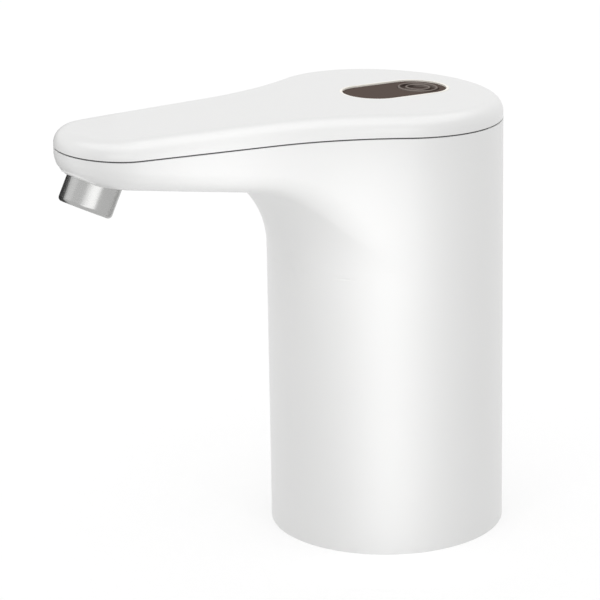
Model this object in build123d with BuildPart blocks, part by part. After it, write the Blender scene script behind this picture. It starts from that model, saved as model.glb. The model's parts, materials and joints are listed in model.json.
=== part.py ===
from build123d import *

import os
from math import atan, atan2, cos, degrees, exp, hypot, radians, sin, sqrt, tan

# Bottled water pump: a tube that slips over the neck of a large water bottle, with a
# spout reaching forward from its top. Millimetres. The origin is the centre of the
# tube's foot, +Z is up and +X points to the spout's tip.

# Body and spout seen from above
collar_room = 8.8
spout_reach = 99.66
tip_half_width = 17.91
tip_half_length = 15.19
side_angle = 4.52
waist_radius = 106.5
wall = 2.2

# Heights, and the tilt that the lid, its seam and the spout share
head_room = 14.2
seam_angle = 3.2
lid_height = 6.76
crown_radius = 3968.0
crown_centre = 26.5
lid_round = 4.7
spout_depth = 16.0
underside_angle = 10.52
armpit_radius = 30.0
keel_round = 6.5
keel_fade = 5.0
spout_wall = 3.0
rim_depth = 5.0
section_step = 1.0
outline_points = 120
halvings = 40

# Clearances
overrun = 2.0
fit_gap = 0.02
slip_gap = 0.05
loose_gap = 0.3

# Seam gasket and the lid's locating lip
gasket_thickness = 0.45
gasket_setback = 0.5
lip_gap = 0.15
lip_thickness = 1.1
lip_depth = 3.0

# Control panel in the lid
panel_length = 35.4
panel_width = 19.0
panel_centre = -3.95
panel_thickness = 1.6
panel_drop = 0.56
bezel_width = 0.8
bezel_rise = 0.46
pad_thickness = 1.3
pad_border = 2.3
window_radius = 1.3
window_count = 3
window_pitch = 3.6
window_setback = 8.15

# Button, its switch and the travel between them
button_offset = 1.05
button_radius = 6.3
button_height = 1.4
button_rise = 0.2
button_gap = 0.15
button_travel = 0.6
well_spare = 0.3
groove_depth = 0.5
groove_outer = 5.4
groove_inner = 3.95
dish_radius = 3.1
stem_radius = 1.8
guide_wall = 1.2
guide_depth = 3.0
switch_side = 6.0
switch_height = 4.3
plunger_radius = 1.75
plunger_depth = 1.2
plunger_rise = 0.8
plunger_gap = 0.1

# Nozzle, tilted forward
nozzle_angle = 27.2
nozzle_setback = 5.9
nozzle_drop = 10.73
nozzle_radius = 8.18
nozzle_bore = 6.85
nozzle_length = 14.4
nozzle_rim_round = 1.2
nozzle_seat_low = 8.0
nozzle_seat_high = 12.6
nozzle_seat_radius = 10.0
clip_groove = 0.28
clip_radius = 8.9
clip_thickness = 1.0
elbow_low = 5.5
elbow_flange_radius = 8.8
elbow_flange_height = 1.2
elbow_head_radius = 4.9
elbow_head_height = 3.9
elbow_axis = 17.1
barb_length = 12.0
ring_groove_low = 9.0
ring_wire_radius = 0.55
straightener_low = 0.7
straightener_height = 3.0
straightener_hole = 0.75
straightener_pitch = 1.85
straightener_rings = 3

# Soft tubes and the ports they are pushed on
tube_radius = 4.0
tube_bore = 2.6
port_bore = 1.6
tube_end_gap = 0.4
outlet_bend = 15.0
clip_band = 0.6
clip_width = 3.0
clip_setback = 2.0

# Base plate over the bottle neck
base_height = 34.0
base_thickness = 2.5
pump_offset = 27.5
spigot_radius = 4.0
spigot_length = 8.0
spigot_bore = 2.4
barb_height = 7.0
boss_inset = 4.9
boss_radius = 3.2
boss_angles = (70, 130, -130, -70)
boss_height = 19.5
screw_radius = 1.45
screw_head_radius = 2.5
screw_head_height = 1.8
screw_depth = 9.0
slot_share = 0.6
slot_aspect = 4
slot_depth = 0.7

# Neck collar
neck_bore = 27.7
collar_foot = 1.0
collar_length = 25.0
collar_web = 2.0
collar_sleeve = 2.2
collar_ribs = 12
collar_rib = 1.6

# Diaphragm pump, head down
pump_side = 27.0
pump_corner = 4.0
pump_rise = 14.5
head_height = 7.0
valve_height = 3.0
flange_height = 1.2
housing_height = 17.8
housing_roof = 2.5
housing_cavity = 12.0
pump_bolt_pitch = 21.4
pump_bolt_radius = 1.0
pump_bolt_head = 1.9
pump_bolt_head_height = 1.4
inlet_chamber = 5.9
chamber_wall = 1.2
outlet_chamber = 11.2
chamber_floor = 3.0
outlet_offset = 19.0
outlet_arm = 4.0
outlet_barb = 9.0
port_length = 6.5
cup_count = 3
cup_ring = 7.0
cup_radius = 4.2
cup_wall = 0.6
cup_button = 1.7
cup_shoulder = 1.5
inlet_ring = 4.9
outlet_ring = 9.0
flap_radius = 1.4
flap_thickness = 0.5
valve_stem = 0.45
flow_ring = 0.95
flow_hole = 0.3
flow_count = 4
foot_radius = 2.2
foot_height = 1.0
foot_ring = 10.5

# Drive: inclined pin, cam and three-armed swing plate
wobble_angle = 7.0
pivot_rise = 6.8
arm_reach = 9.2
arm_width = 3.4
arm_thickness = 2.0
hub_radius = 2.8
hub_height = 3.8
pin_radius = 0.75
pin_low = 0.6
pin_high = 6.6
cam_radius = 5.5
cam_gap = 0.7
cam_height = 3.5
cam_flat = 3.5
cam_neck_radius = 2.6
cam_neck_height = 2.2
shaft_radius = 1.0
shaft_depth = 0.8
neck_hole = 3.2

# Motor
can_radius = 12.2
can_wall = 0.8
can_length = 30.8
can_floor = 1.6
magnet_inner = 10.2
magnet_rise = 5.0
magnet_height = 20.0
magnet_arc = 120.0
armature_radius = 9.6
armature_rise = 6.0
armature_height = 16.0
armature_slot = 2.2
armature_core = 3.4
commutator_radius = 2.5
commutator_height = 4.5
end_cap_depth = 2.0
end_cap_rise = 0.8
end_bush_radius = 4.0
end_bush_rise = 1.9
terminal_ring = 7.5
terminal_width = 2.4
terminal_thickness = 0.5
terminal_rise = 3.6
sleeve_thickness = 1.4
bracket_rise = 12.0
bracket_thickness = 4.0
bracket_rim = 1.1
post_reach = 22.0
post_radius = 3.4
spacer_radius = 2.8
stud_radius = 1.4
stud_length = 9.0
thread_radius = 1.25
motor_screw_ring = 8.5
motor_screw_radius = 1.2
motor_screw_head = 1.8
motor_screw_head_height = 1.3
motor_screw_spare = 1.0

# Battery cell
cell_inset = 15.0
cell_radius = 9.2
cell_rise = 9.5
cell_length = 65.0
socket_gap = 0.15
socket_wall = 1.5
socket_height = 21.5
skirt_length = 15.0
contact_thickness = 0.3
contact_width = 5.0
contact_reach = 13.2
contact_slot = 0.6
contact_tail = 4.0
cell_cap_radius = 3.4
cell_cap_height = 0.8
cell_pad_radius = 8.0
cell_pad_height = 1.2
lead_radius = 0.6
lead_ring = 12.2
lead_hole = 1.2

# Upper deck and main board
top_pad_height = 2.7
deck_thickness = 2.5
deck_inset = 2.9
deck_hole = 11.0
deck_notch = 4.6
standoff_radius = 2.0
standoff_height = 3.4
board_front = 19.0
board_inset = 5.0
board_half_width = 13.0
board_thickness = 1.6
board_chamfer = 4.0
board_screw_points = ((15.5, 9.5), (15.5, -9.5), (-16.5, 9.5), (-16.5, -9.5))
board_screw_radius = 0.9
board_screw_head = 1.7
board_screw_head_height = 1.2
led_length = 1.6
led_width = 1.0
led_height = 0.7
chip_sizes = (
    ((-4.5, 7.0), (5.0, 6.2, 1.6)),
    ((-2.0, -7.0), (4.0, 4.0, 1.0)),
    ((4.5, -8.0), (3.0, 3.0, 1.4)),
    ((4.5, 8.0), (6.0, 3.5, 2.0)),
    ((-22.0, 8.0), (3.2, 1.6, 1.0)),
    ((-22.0, -8.0), (3.2, 1.6, 1.0)),
)

# Charging port and its flap at the rear
receptacle_width = 8.94
receptacle_height = 3.26
receptacle_length = 7.3
receptacle_wall = 0.3
receptacle_inset = 2.8
tongue_width = 6.6
tongue_height = 0.7
tongue_length = 5.4
port_pad_width = 18.0
port_pad_height = 11.0
port_pad_depth = 4.3
recess_depth = 1.5
flap_width = 14.0
flap_height = 8.0
flap_corner = 2.0
flap_gap = 0.25
flap_seat = 0.05
opening_width = 9.6
plug_width = 8.0
plug_half_height = 1.2
plug_depth = 1.1
opening_spare = 0.55

# Lugs that take the lid's screws
lug_rise = 2.5
lug_height = 4.0
lid_boss_radius = 2.4

# Clear light guide over the indicator lamps
guide_radius = 1.1
guide_bar_height = 1.4
guide_bar_width = 3.0
guide_foot_gap = 0.5

# Places that follow from the sizes, from the bottle neck upwards
body_radius = neck_bore + collar_room
sleeve_bore = body_radius - wall
collar_top = collar_foot + collar_length
base_top = base_height + base_thickness
cell_foot = base_top + cell_rise
cell_top = cell_foot + cell_length
deck_height = cell_top + contact_thickness + top_pad_height
deck_top = deck_height + deck_thickness
deck_radius = body_radius - deck_inset
skirt_low = deck_height - skirt_length
board_low = deck_top + standoff_height
board_top = board_low + board_thickness
board_rear = board_inset - body_radius
lug_low = deck_top + lug_rise
lug_high = lug_low + lug_height
seam_height = deck_top + head_room
underside_height = seam_height - spout_depth
tip_end = spout_reach + tip_half_length
nozzle_mouth_x = tip_end - nozzle_setback
nozzle_mouth_z = seam_height - nozzle_drop
pump_foot = base_top + pump_rise
head_top = pump_foot + head_height
valve_top = head_top + valve_height
flange_top = valve_top + flange_height
pivot_height = flange_top + pivot_rise
motor_foot = flange_top + housing_height
cam_low = pivot_height + hub_height + cam_gap
cam_high = cam_low + cam_height
cam_neck_high = cam_high + cam_neck_height
shaft_low = cam_high - shaft_depth
can_top = motor_foot + can_length
magnet_low = motor_foot + magnet_rise
magnet_high = magnet_low + magnet_height
armature_low = motor_foot + armature_rise
armature_high = armature_low + armature_height
commutator_high = armature_high + commutator_height
bracket_height = motor_foot + bracket_rise
bracket_top = bracket_height + bracket_thickness
sleeve_radius = can_radius + sleeve_thickness
bracket_radius = sleeve_radius + bracket_rim
socket_high = base_top + socket_height
cell_x = cell_inset - body_radius
pump_x = cell_x + pump_offset
outlet_x = pump_x + outlet_offset
port_centre = board_top + receptacle_height / 2
port_pad_inner = port_pad_depth - body_radius
recess_floor = recess_depth - body_radius
receptacle_front = receptacle_inset - body_radius
armpit_axis = body_radius + armpit_radius
armpit_foot = (
    underside_height
    + armpit_radius * tan(radians(underside_angle))
    - armpit_radius / cos(radians(underside_angle))
)
tube_top = armpit_foot - 2 * section_step

UP = (Align.CENTER, Align.CENTER, Align.MIN)
SPAN = 3 * (tip_end + body_radius)

slope = tan(radians(seam_angle))
seam_plane = Plane(
    origin=(0, 0, seam_height),
    x_dir=(cos(radians(seam_angle)), 0, sin(radians(seam_angle))),
    z_dir=(-sin(radians(seam_angle)), 0, cos(radians(seam_angle))),
)
nozzle_plane = Plane(
    origin=(nozzle_mouth_x, 0, nozzle_mouth_z),
    x_dir=(cos(radians(nozzle_angle)), 0, sin(radians(nozzle_angle))),
    z_dir=(-sin(radians(nozzle_angle)), 0, cos(radians(nozzle_angle))),
)


def flip(point):
    """Return the point mirrored across the X axis."""
    return (point[0], -point[1])


def around(radius, angles, centre=(0, 0)):
    """Return points on a circle at the given angles in degrees."""
    return [
        (centre[0] + radius * cos(radians(a)), centre[1] + radius * sin(radians(a)))
        for a in angles
    ]


def column(at, low, high, radius, mode=Mode.ADD):
    """Put an upright cylinder into the part being built."""
    with Locations((at[0], at[1], low)):
        Cylinder(radius, high - low, align=UP, mode=mode)


def block(low, high, mode=Mode.ADD):
    """Put an upright box between two corners into the part being built."""
    size = [b - a for a, b in zip(low, high)]
    middle = [(a + b) / 2 for a, b in zip(low, high)]
    with Locations(tuple(middle)):
        Box(*size, mode=mode)


def save(builder, name):
    """Label the finished piece and write its file."""
    builder.part.label = name
    export_step(builder.part, f"parts/{name}.step")


def landmarks(inset):
    """Return the sizes and corner points of the outline moved inwards by inset."""
    half_length = tip_half_length - inset
    half_width = tip_half_width - inset
    tube = body_radius - inset
    waist = waist_radius + inset
    along = (-cos(radians(side_angle)), sin(radians(side_angle)))
    outward = (sin(radians(side_angle)), cos(radians(side_angle)))
    turn = atan(half_width / (half_length * tan(radians(side_angle))))
    start = (spout_reach + half_length * cos(turn), half_width * sin(turn))
    raised = (start[0] + waist * outward[0], start[1] + waist * outward[1])
    half = -(raised[0] * along[0] + raised[1] * along[1])
    rest = raised[0] ** 2 + raised[1] ** 2 - (tube + waist) ** 2
    run = half - sqrt(half * half - rest)
    centre = (raised[0] + run * along[0], raised[1] + run * along[1])
    bend = (centre[0] - waist * outward[0], centre[1] - waist * outward[1])
    meet = (centre[0] * tube / (tube + waist), centre[1] * tube / (tube + waist))
    return half_length, half_width, tube, waist, turn, start, bend, meet, centre, run


def teardrop(inset):
    """Return the outline of body and spout from above, moved inwards by inset."""
    half_length, half_width, tube, waist, turn, start, bend, meet, centre, _ = landmarks(inset)
    aim = ((bend[0] + meet[0]) / 2 - centre[0], (bend[1] + meet[1]) / 2 - centre[1])
    reach = waist / hypot(*aim)
    middle = (centre[0] + aim[0] * reach, centre[1] + aim[1] * reach)
    with BuildSketch() as outline:
        with BuildLine():
            EllipticalCenterArc(
                (spout_reach, 0),
                half_length,
                half_width,
                start_angle=-degrees(turn),
                arc_size=2 * degrees(turn),
            )
            Line(start, bend)
            ThreePointArc(bend, middle, meet)
            ThreePointArc(meet, (-tube, 0), flip(meet))
            ThreePointArc(flip(meet), flip(middle), flip(bend))
            Line(flip(bend), flip(start))
        make_face()
    return outline.sketch


def outside_outline(x, y):
    """Return how far a point lies outside the teardrop, negative when it is inside."""
    half_length, half_width, tube, waist, _, start, _, meet, centre, run = landmarks(0)
    y = abs(y)
    if atan2(y, x) >= atan2(meet[1], meet[0]):
        return hypot(x, y) - tube
    step = (start[0] - x) * cos(radians(side_angle)) + (y - start[1]) * sin(radians(side_angle))
    if step > run:
        return waist - hypot(x - centre[0], y - centre[1])
    if step > 0:
        return (x - start[0]) * sin(radians(side_angle)) + (y - start[1]) * cos(radians(side_angle))
    across = ((x - spout_reach) / half_length, y / half_width)
    size = hypot(*across)
    if size == 0:
        return -half_length
    steepness = hypot(across[0] / half_length, across[1] / half_width)
    return (size - 1) * size / steepness


def below_underside(radius, height):
    """Return how far a point lies below the spout's underside or off the tube's wall."""
    rise = radians(underside_angle)
    across = radius - body_radius - armpit_radius
    up = height - armpit_foot
    if up < 0:
        return radius - body_radius
    if across * cos(rise) + up * sin(rise) < 0:
        return armpit_radius - hypot(across, up)
    return armpit_radius + across * sin(rise) - up * cos(rise)


def surface_radius(angle, height):
    """Return the distance from the axis to the outer surface of body and spout."""

    def outside(radius):
        rounding = keel_round * (1 - exp((body_radius - radius) / keel_fade))
        wall_side = rounding + outside_outline(radius * cos(angle), radius * sin(angle))
        low_side = rounding + below_underside(radius, height)
        corner = hypot(max(wall_side, 0), max(low_side, 0))
        return corner - rounding + min(max(wall_side, low_side), 0)

    near = body_radius + fit_gap
    far = spout_reach + 2 * tip_half_length
    if outside(near) >= 0:
        return body_radius
    for _ in range(halvings):
        middle = (near + far) / 2
        near, far = (near, middle) if outside(middle) > 0 else (middle, far)
    return near


def outer_form():
    """Return the upper body and spout as one solid, the tube flowing into the keel."""
    rim = teardrop(0).face().outer_wire()
    stops = [rim.position_at(i / outline_points) for i in range(outline_points)]
    angles = [atan2(stop.Y, stop.X) for stop in stops]
    knots = [i / outline_points for i in range(outline_points + 1)]
    top = seam_at(spout_reach + tip_half_length) + section_step
    count = round((top - tube_top) / section_step)
    heights = [tube_top + (top - tube_top) * i / count for i in range(count + 1)]
    sections = []
    for height in heights:
        distances = [surface_radius(angle, height) for angle in angles]
        points = [
            Vector(distance * cos(angle), distance * sin(angle), height)
            for distance, angle in zip(distances, angles)
        ]
        edge = Edge.make_spline(points, periodic=True, parameters=knots)
        sections.append(Face(Wire(edge)))
    with BuildPart() as form:
        loft(sections)
    return form.part


def spout_cavity(inset):
    """Return the room inside body and spout, with plain corners."""
    rise = radians(underside_angle)
    bend = armpit_radius + inset
    far = body_radius + spout_reach
    floor = underside_height + inset / cos(rise)
    low = (body_radius - inset, armpit_foot)
    high = (armpit_axis - bend * sin(rise), armpit_foot + bend * cos(rise))
    half_turn = radians(180 - (90 - underside_angle) / 2)
    middle = (armpit_axis + bend * cos(half_turn), armpit_foot + bend * sin(half_turn))
    end = (far, floor + (far - body_radius) * tan(rise))
    with BuildPart() as room:
        with BuildSketch():
            add(teardrop(inset))
        extrude(amount=seam_height + body_radius)
        with BuildSketch(Plane.XZ):
            with BuildLine():
                Line((low[0], -overrun), low)
                ThreePointArc(low, middle, high)
                Line(high, end)
                Line(end, (far, -overrun))
                Line((far, -overrun), (low[0], -overrun))
            make_face()
        revolve(axis=Axis.Z, mode=Mode.SUBTRACT)
    return room.part


def seam_slab(low, high):
    """Return everything between two planes parallel to the seam."""
    with BuildPart() as slab:
        with BuildSketch(seam_plane.offset(low)):
            Rectangle(SPAN, SPAN)
        extrude(amount=high - low)
    return slab.part


def under_crown(low, drop):
    """Return everything above a seam-parallel plane and below the lid's crown."""
    side = Plane(
        origin=seam_plane.origin, x_dir=seam_plane.x_dir, z_dir=(0, -1, 0)
    )
    ends = (-2 * body_radius, crown_centre, spout_reach + 2 * tip_half_length)
    tops = [
        (x, lid_height - drop - (x - crown_centre) ** 2 / (2 * crown_radius))
        for x in ends
    ]
    with BuildPart() as crown:
        with BuildSketch(side):
            with BuildLine():
                ThreePointArc(*tops)
                Line(tops[-1], (ends[-1], low))
                Line((ends[-1], low), (ends[0], low))
                Line((ends[0], low), tops[0])
            make_face()
        extrude(amount=SPAN / 2, both=True)
    return crown.part


def seam_at(x):
    """Return the seam plane's height over x."""
    return seam_height + slope * x


boss_points = around(body_radius - boss_inset, boss_angles)
panel_top = lid_height - panel_drop
panel_bottom = panel_top - panel_thickness
window_centre = panel_centre + panel_length / 2 - window_setback
button_centre = panel_centre - (panel_length - panel_width) / 2 - button_offset
button_top = panel_top + button_rise
button_bottom = button_top - button_height
well_floor = button_bottom - button_travel - well_spare
pad_bottom = well_floor - pad_thickness
pump_at = (pump_x, 0)
cell_at = (cell_x, 0)
outlet_at = (outlet_x, 0)
post_points = [(pump_x, post_reach), (pump_x, -post_reach)]
foot_points = around(foot_ring, (0, 90, 180, 270), pump_at)
bolt_points = [
    (pump_x + i * pump_bolt_pitch / 2, j * pump_bolt_pitch / 2) for i in (-1, 1) for j in (-1, 1)
]
motor_screw_points = [(pump_x, motor_screw_ring), (pump_x, -motor_screw_ring)]
cup_angles = [360 * i / cup_count for i in range(cup_count)]
barb_radius = tube_bore - fit_gap
switch_top = board_top + switch_height
socket_radius = cell_radius + socket_gap
socket_outer = socket_radius + socket_wall
pivot_plane = Plane(
    origin=(pump_x, 0, pivot_height),
    x_dir=(cos(radians(wobble_angle)), 0, -sin(radians(wobble_angle))),
    z_dir=(sin(radians(wobble_angle)), 0, cos(radians(wobble_angle))),
)
elbow_point = nozzle_plane.origin + nozzle_plane.z_dir * elbow_axis
tube_plane = Plane(
    origin=elbow_point,
    x_dir=(0, 1, 0),
    z_dir=(-cos(radians(seam_angle)), 0, -sin(radians(seam_angle))),
)


def depth_at(height, u):
    """Return the seam plane's offset that reaches a height at u along the slope."""
    return (height - seam_height - u * sin(radians(seam_angle))) / cos(radians(seam_angle))


def screw(at, seat, length, radius, head_radius, head_height, up=1):
    """Put a pan-head screw into the part being built, its shank going up or down."""
    low = min(seat, seat - up * head_height)
    column(at, low, low + head_height, head_radius)
    low = min(seat, seat + up * length)
    column(at, low, low + length, radius)
    slot = 2 * head_radius * slot_share
    with Locations((at[0], at[1], seat - up * head_height)):
        Box(slot, slot / slot_aspect, 2 * slot_depth, mode=Mode.SUBTRACT)
        Box(slot / slot_aspect, slot, 2 * slot_depth, mode=Mode.SUBTRACT)


def pump_slice(low, high):
    """Return the pump's rounded square between two heights, with its bolt holes."""
    with BuildPart() as layer:
        with BuildSketch(Plane.XY.offset(low)):
            with Locations(pump_at):
                RectangleRounded(pump_side, pump_side, pump_corner)
            with Locations(*bolt_points):
                Circle(pump_bolt_radius + slip_gap, mode=Mode.SUBTRACT)
        extrude(amount=high - low)
    return layer.part


def rim_room():
    """Return the room for the lid's lip just below the seam."""
    with BuildPart() as room:
        with BuildSketch():
            add(teardrop(wall))
        extrude(amount=SPAN)
        add(seam_slab(-rim_depth, rim_depth), mode=Mode.INTERSECT)
    return room.part


def tube_bosses():
    """Return the screw bosses on the lower tube's wall."""
    with BuildPart() as bosses:
        for point in boss_points:
            column(point, base_top, base_top + boss_height, boss_radius)
        column((0, 0), 0, tube_top, (body_radius + sleeve_bore) / 2, Mode.INTERSECT)
        for point in boss_points:
            column(point, base_top - overrun, base_top + screw_depth, screw_radius, Mode.SUBTRACT)
    return bosses.part


def shell_fittings():
    """Return the shell's lugs, port pad and nozzle seat."""
    with BuildPart() as fittings:
        for point in boss_points:
            column(point, lug_low, lug_high, boss_radius)
        block(
            (-body_radius, -port_pad_width / 2, port_centre - port_pad_height / 2),
            (port_pad_inner, port_pad_width / 2, port_centre + port_pad_height / 2),
        )
        with BuildSketch(nozzle_plane.offset(nozzle_seat_low)):
            Circle(nozzle_seat_radius)
        extrude(amount=nozzle_seat_high - nozzle_seat_low)
        add(spout_cavity(wall / 2), mode=Mode.INTERSECT)
    return fittings.part


def lid_room():
    """Return the hollow under the lid's crown."""
    with BuildPart() as room:
        with BuildSketch():
            add(teardrop(wall))
        extrude(amount=SPAN)
        add(under_crown(-overrun, wall), mode=Mode.INTERSECT)
    return room.part


def lid_lip():
    """Return the lip that drops into the shell, open round the port pad and nozzle seat."""
    with BuildPart() as lip:
        with BuildSketch():
            add(teardrop(wall + lip_gap))
            add(teardrop(wall + lip_gap + lip_thickness), mode=Mode.SUBTRACT)
        extrude(amount=SPAN)
        add(under_crown(-lip_depth, wall / 2), mode=Mode.INTERSECT)
        half_gap = port_pad_width / 2 + loose_gap
        block(
            (-body_radius, -half_gap, 0),
            (port_pad_inner + loose_gap, half_gap, port_centre + port_pad_height / 2 + loose_gap),
            Mode.SUBTRACT,
        )
        with BuildSketch(nozzle_plane):
            Circle(nozzle_seat_radius + loose_gap)
        extrude(amount=nozzle_seat_high + loose_gap, mode=Mode.SUBTRACT)
    return lip.part


def lid_bosses():
    """Return the lid's screw bosses, the panel's seat and the button's guide."""
    with BuildPart() as bosses:
        for point in boss_points:
            column(point, lug_high, seam_at(point[0]) + lid_height - wall / 2, lid_boss_radius)
        with BuildSketch(seam_plane.offset(pad_bottom)):
            with Locations((panel_centre, 0)):
                SlotOverall(panel_length + 2 * pad_border, panel_width + 2 * pad_border)
        extrude(amount=panel_top - pad_bottom)
        with BuildSketch(seam_plane.offset(pad_bottom - guide_depth)):
            with Locations((button_centre, 0)):
                Circle(stem_radius + button_gap + guide_wall)
        extrude(amount=guide_depth)
    return bosses.part


os.makedirs("parts", exist_ok=True)

# Lower tube with the base plate's screw bosses
with BuildPart() as body_tube:
    column((0, 0), 0, tube_top, body_radius)
    column((0, 0), -overrun, tube_top + overrun, sleeve_bore, Mode.SUBTRACT)
    add(tube_bosses())
save(body_tube, "body_tube")

# Body shell: upper body and lower half of the spout, open below and at the seam
rear_plane = Plane(origin=(0, 0, port_centre), x_dir=(0, -1, 0), z_dir=(-1, 0, 0))
with BuildPart() as body_shell:
    add(outer_form())
    split(bisect_by=seam_plane, keep=Keep.BOTTOM)
    add(spout_cavity(spout_wall), mode=Mode.SUBTRACT)
    column((0, 0), -overrun, seam_height + body_radius, sleeve_bore, Mode.SUBTRACT)
    add(rim_room(), mode=Mode.SUBTRACT)
    add(shell_fittings())
    for point in boss_points:
        column(point, lug_low - overrun, lug_high + overrun, screw_radius + slip_gap, Mode.SUBTRACT)
    with BuildSketch(nozzle_plane):
        Circle(nozzle_radius + fit_gap)
    extrude(amount=nozzle_seat_high + overrun, mode=Mode.SUBTRACT)
    with BuildSketch(nozzle_plane.offset(nozzle_seat_high)):
        Circle(clip_radius + loose_gap)
    extrude(amount=nozzle_seat_high, mode=Mode.SUBTRACT)
    with BuildSketch(rear_plane.offset(-recess_floor)):
        RectangleRounded(flap_width + 2 * flap_gap, flap_height + 2 * flap_gap, flap_corner)
    extrude(amount=body_radius, mode=Mode.SUBTRACT)
    opening_height = 2 * (plug_half_height + opening_spare)
    with BuildSketch(rear_plane.offset(-port_pad_inner - overrun)):
        RectangleRounded(opening_width, opening_height, plug_half_height)
    extrude(amount=body_radius, mode=Mode.SUBTRACT)
save(body_shell, "body_shell")

# Seam gasket: thin strip set back a little from both shells
with BuildPart() as seam_gasket:
    with BuildSketch():
        add(teardrop(gasket_setback))
        add(teardrop(wall - fit_gap), mode=Mode.SUBTRACT)
    extrude(amount=SPAN)
    add(seam_slab(0, gasket_thickness), mode=Mode.INTERSECT)
save(seam_gasket, "seam_gasket")

# Top cover: crowned lid with a rounded upper edge, hollow below
with BuildPart() as top_cover:
    with BuildSketch():
        add(teardrop(0))
    extrude(amount=SPAN)
    add(under_crown(gasket_thickness, 0), mode=Mode.INTERSECT)
    crown_face = max(top_cover.faces(), key=lambda face: face.normal_at().Z)
    fillet(crown_face.outer_wire().edges(), lid_round)
    add(lid_room(), mode=Mode.SUBTRACT)
    add(lid_lip())
    add(lid_bosses())
    with BuildSketch(seam_plane.offset(panel_bottom)):
        with Locations((panel_centre, 0)):
            SlotOverall(panel_length + 2 * bezel_width, panel_width + 2 * bezel_width)
    extrude(amount=lid_height, mode=Mode.SUBTRACT)
    with BuildSketch(seam_plane.offset(well_floor)):
        with Locations((button_centre, 0)):
            Circle(button_radius + button_gap)
    extrude(amount=lid_height, mode=Mode.SUBTRACT)
    with BuildSketch(seam_plane.offset(-lid_height)):
        with Locations((button_centre, 0)):
            Circle(stem_radius + button_gap)
        with Locations((window_centre, 0)):
            with GridLocations(window_pitch, 0, window_count, 1):
                Circle(window_radius)
    extrude(amount=2 * lid_height, mode=Mode.SUBTRACT)
    for point in boss_points:
        column(point, lug_high - overrun, lug_high + screw_depth, screw_radius, Mode.SUBTRACT)
save(top_cover, "top_cover")

# Thin pale rim round the panel
with BuildPart() as panel_bezel:
    with BuildSketch(seam_plane.offset(panel_bottom)):
        with Locations((panel_centre, 0)):
            SlotOverall(
                panel_length + 2 * (bezel_width - fit_gap), panel_width + 2 * (bezel_width - fit_gap)
            )
            SlotOverall(panel_length, panel_width, mode=Mode.SUBTRACT)
    extrude(amount=panel_thickness + bezel_rise)
save(panel_bezel, "panel_bezel")

# Dark panel with a round opening for the button
with BuildPart() as control_panel:
    with BuildSketch(seam_plane.offset(panel_bottom)):
        with Locations((panel_centre, 0)):
            SlotOverall(panel_length - 2 * fit_gap, panel_width - 2 * fit_gap)
        with Locations((button_centre, 0)):
            Circle(button_radius + button_gap, mode=Mode.SUBTRACT)
    extrude(amount=panel_thickness)
save(control_panel, "control_panel")

# Button: two raised rings round a shallow dish, on a stem
stem_low = depth_at(switch_top + plunger_rise, button_centre)
with BuildPart() as power_button:
    with BuildSketch(seam_plane.offset(button_bottom)):
        with Locations((button_centre, 0)):
            Circle(button_radius)
    extrude(amount=button_height)
    with BuildSketch(seam_plane.offset(button_top - groove_depth)):
        with Locations((button_centre, 0)):
            Circle(groove_outer)
            Circle(groove_inner, mode=Mode.SUBTRACT)
            Circle(dish_radius)
    extrude(amount=button_height, mode=Mode.SUBTRACT)
    with BuildSketch(seam_plane.offset(stem_low)):
        with Locations((button_centre, 0)):
            Circle(stem_radius)
    extrude(amount=button_bottom - stem_low)
save(power_button, "power_button")

# Push switch on the board, and its plunger
plunger_low = depth_at(switch_top - plunger_depth, button_centre)
switch_spot = seam_plane.from_local_coords(Vector(button_centre, 0, plunger_low))
with BuildPart() as button_switch:
    block(
        (switch_spot.X - switch_side / 2, -switch_side / 2, board_top),
        (switch_spot.X + switch_side / 2, switch_side / 2, switch_top),
    )
    with BuildSketch(seam_plane.offset(plunger_low - button_travel - well_spare)):
        with Locations((button_centre, 0)):
            Circle(plunger_radius + plunger_gap)
    extrude(amount=switch_height, mode=Mode.SUBTRACT)
save(button_switch, "button_switch")

with BuildPart() as switch_plunger:
    with BuildSketch(seam_plane.offset(plunger_low)):
        with Locations((button_centre, 0)):
            Circle(plunger_radius)
    extrude(amount=stem_low - plunger_low)
save(switch_plunger, "switch_plunger")

# Clear guide that brings the indicator lamps up to the panel
lamp_depth = depth_at(board_top + led_height + guide_foot_gap, window_centre)
with BuildPart() as light_guide:
    with BuildSketch(seam_plane.offset(lamp_depth)):
        with Locations((window_centre, 0)):
            with GridLocations(window_pitch, 0, window_count, 1):
                Circle(guide_radius)
    extrude(amount=panel_bottom - lamp_depth)
    with BuildSketch(seam_plane.offset(pad_bottom - guide_bar_height)):
        with Locations((window_centre, 0)):
            Rectangle(window_pitch * (window_count - 1) + guide_bar_width, guide_bar_width)
    extrude(amount=guide_bar_height)
save(light_guide, "light_guide")

# Screws that hold the lid, driven from below through the shell's lugs
with BuildPart() as cover_screws:
    for point in boss_points:
        screw(
            point,
            lug_low,
            lug_high - lug_low + screw_depth - loose_gap,
            screw_radius - fit_gap,
            screw_head_radius,
            screw_head_height,
        )
save(cover_screws, "cover_screws")

# Nozzle: thin steel sleeve with a groove for its clip
with BuildPart() as nozzle:
    with BuildSketch(nozzle_plane):
        Circle(nozzle_radius)
        Circle(nozzle_bore, mode=Mode.SUBTRACT)
    extrude(amount=nozzle_length)
    mouth_edges = nozzle.edges().filter_by(GeomType.CIRCLE).sort_by(Axis.Z)[:2]
    fillet(mouth_edges.sort_by(SortBy.RADIUS)[-1], nozzle_rim_round)
    with BuildSketch(nozzle_plane.offset(nozzle_seat_high)):
        Circle(nozzle_radius + overrun)
        Circle(nozzle_radius - clip_groove, mode=Mode.SUBTRACT)
    extrude(amount=clip_thickness, mode=Mode.SUBTRACT)
save(nozzle, "nozzle")

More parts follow.
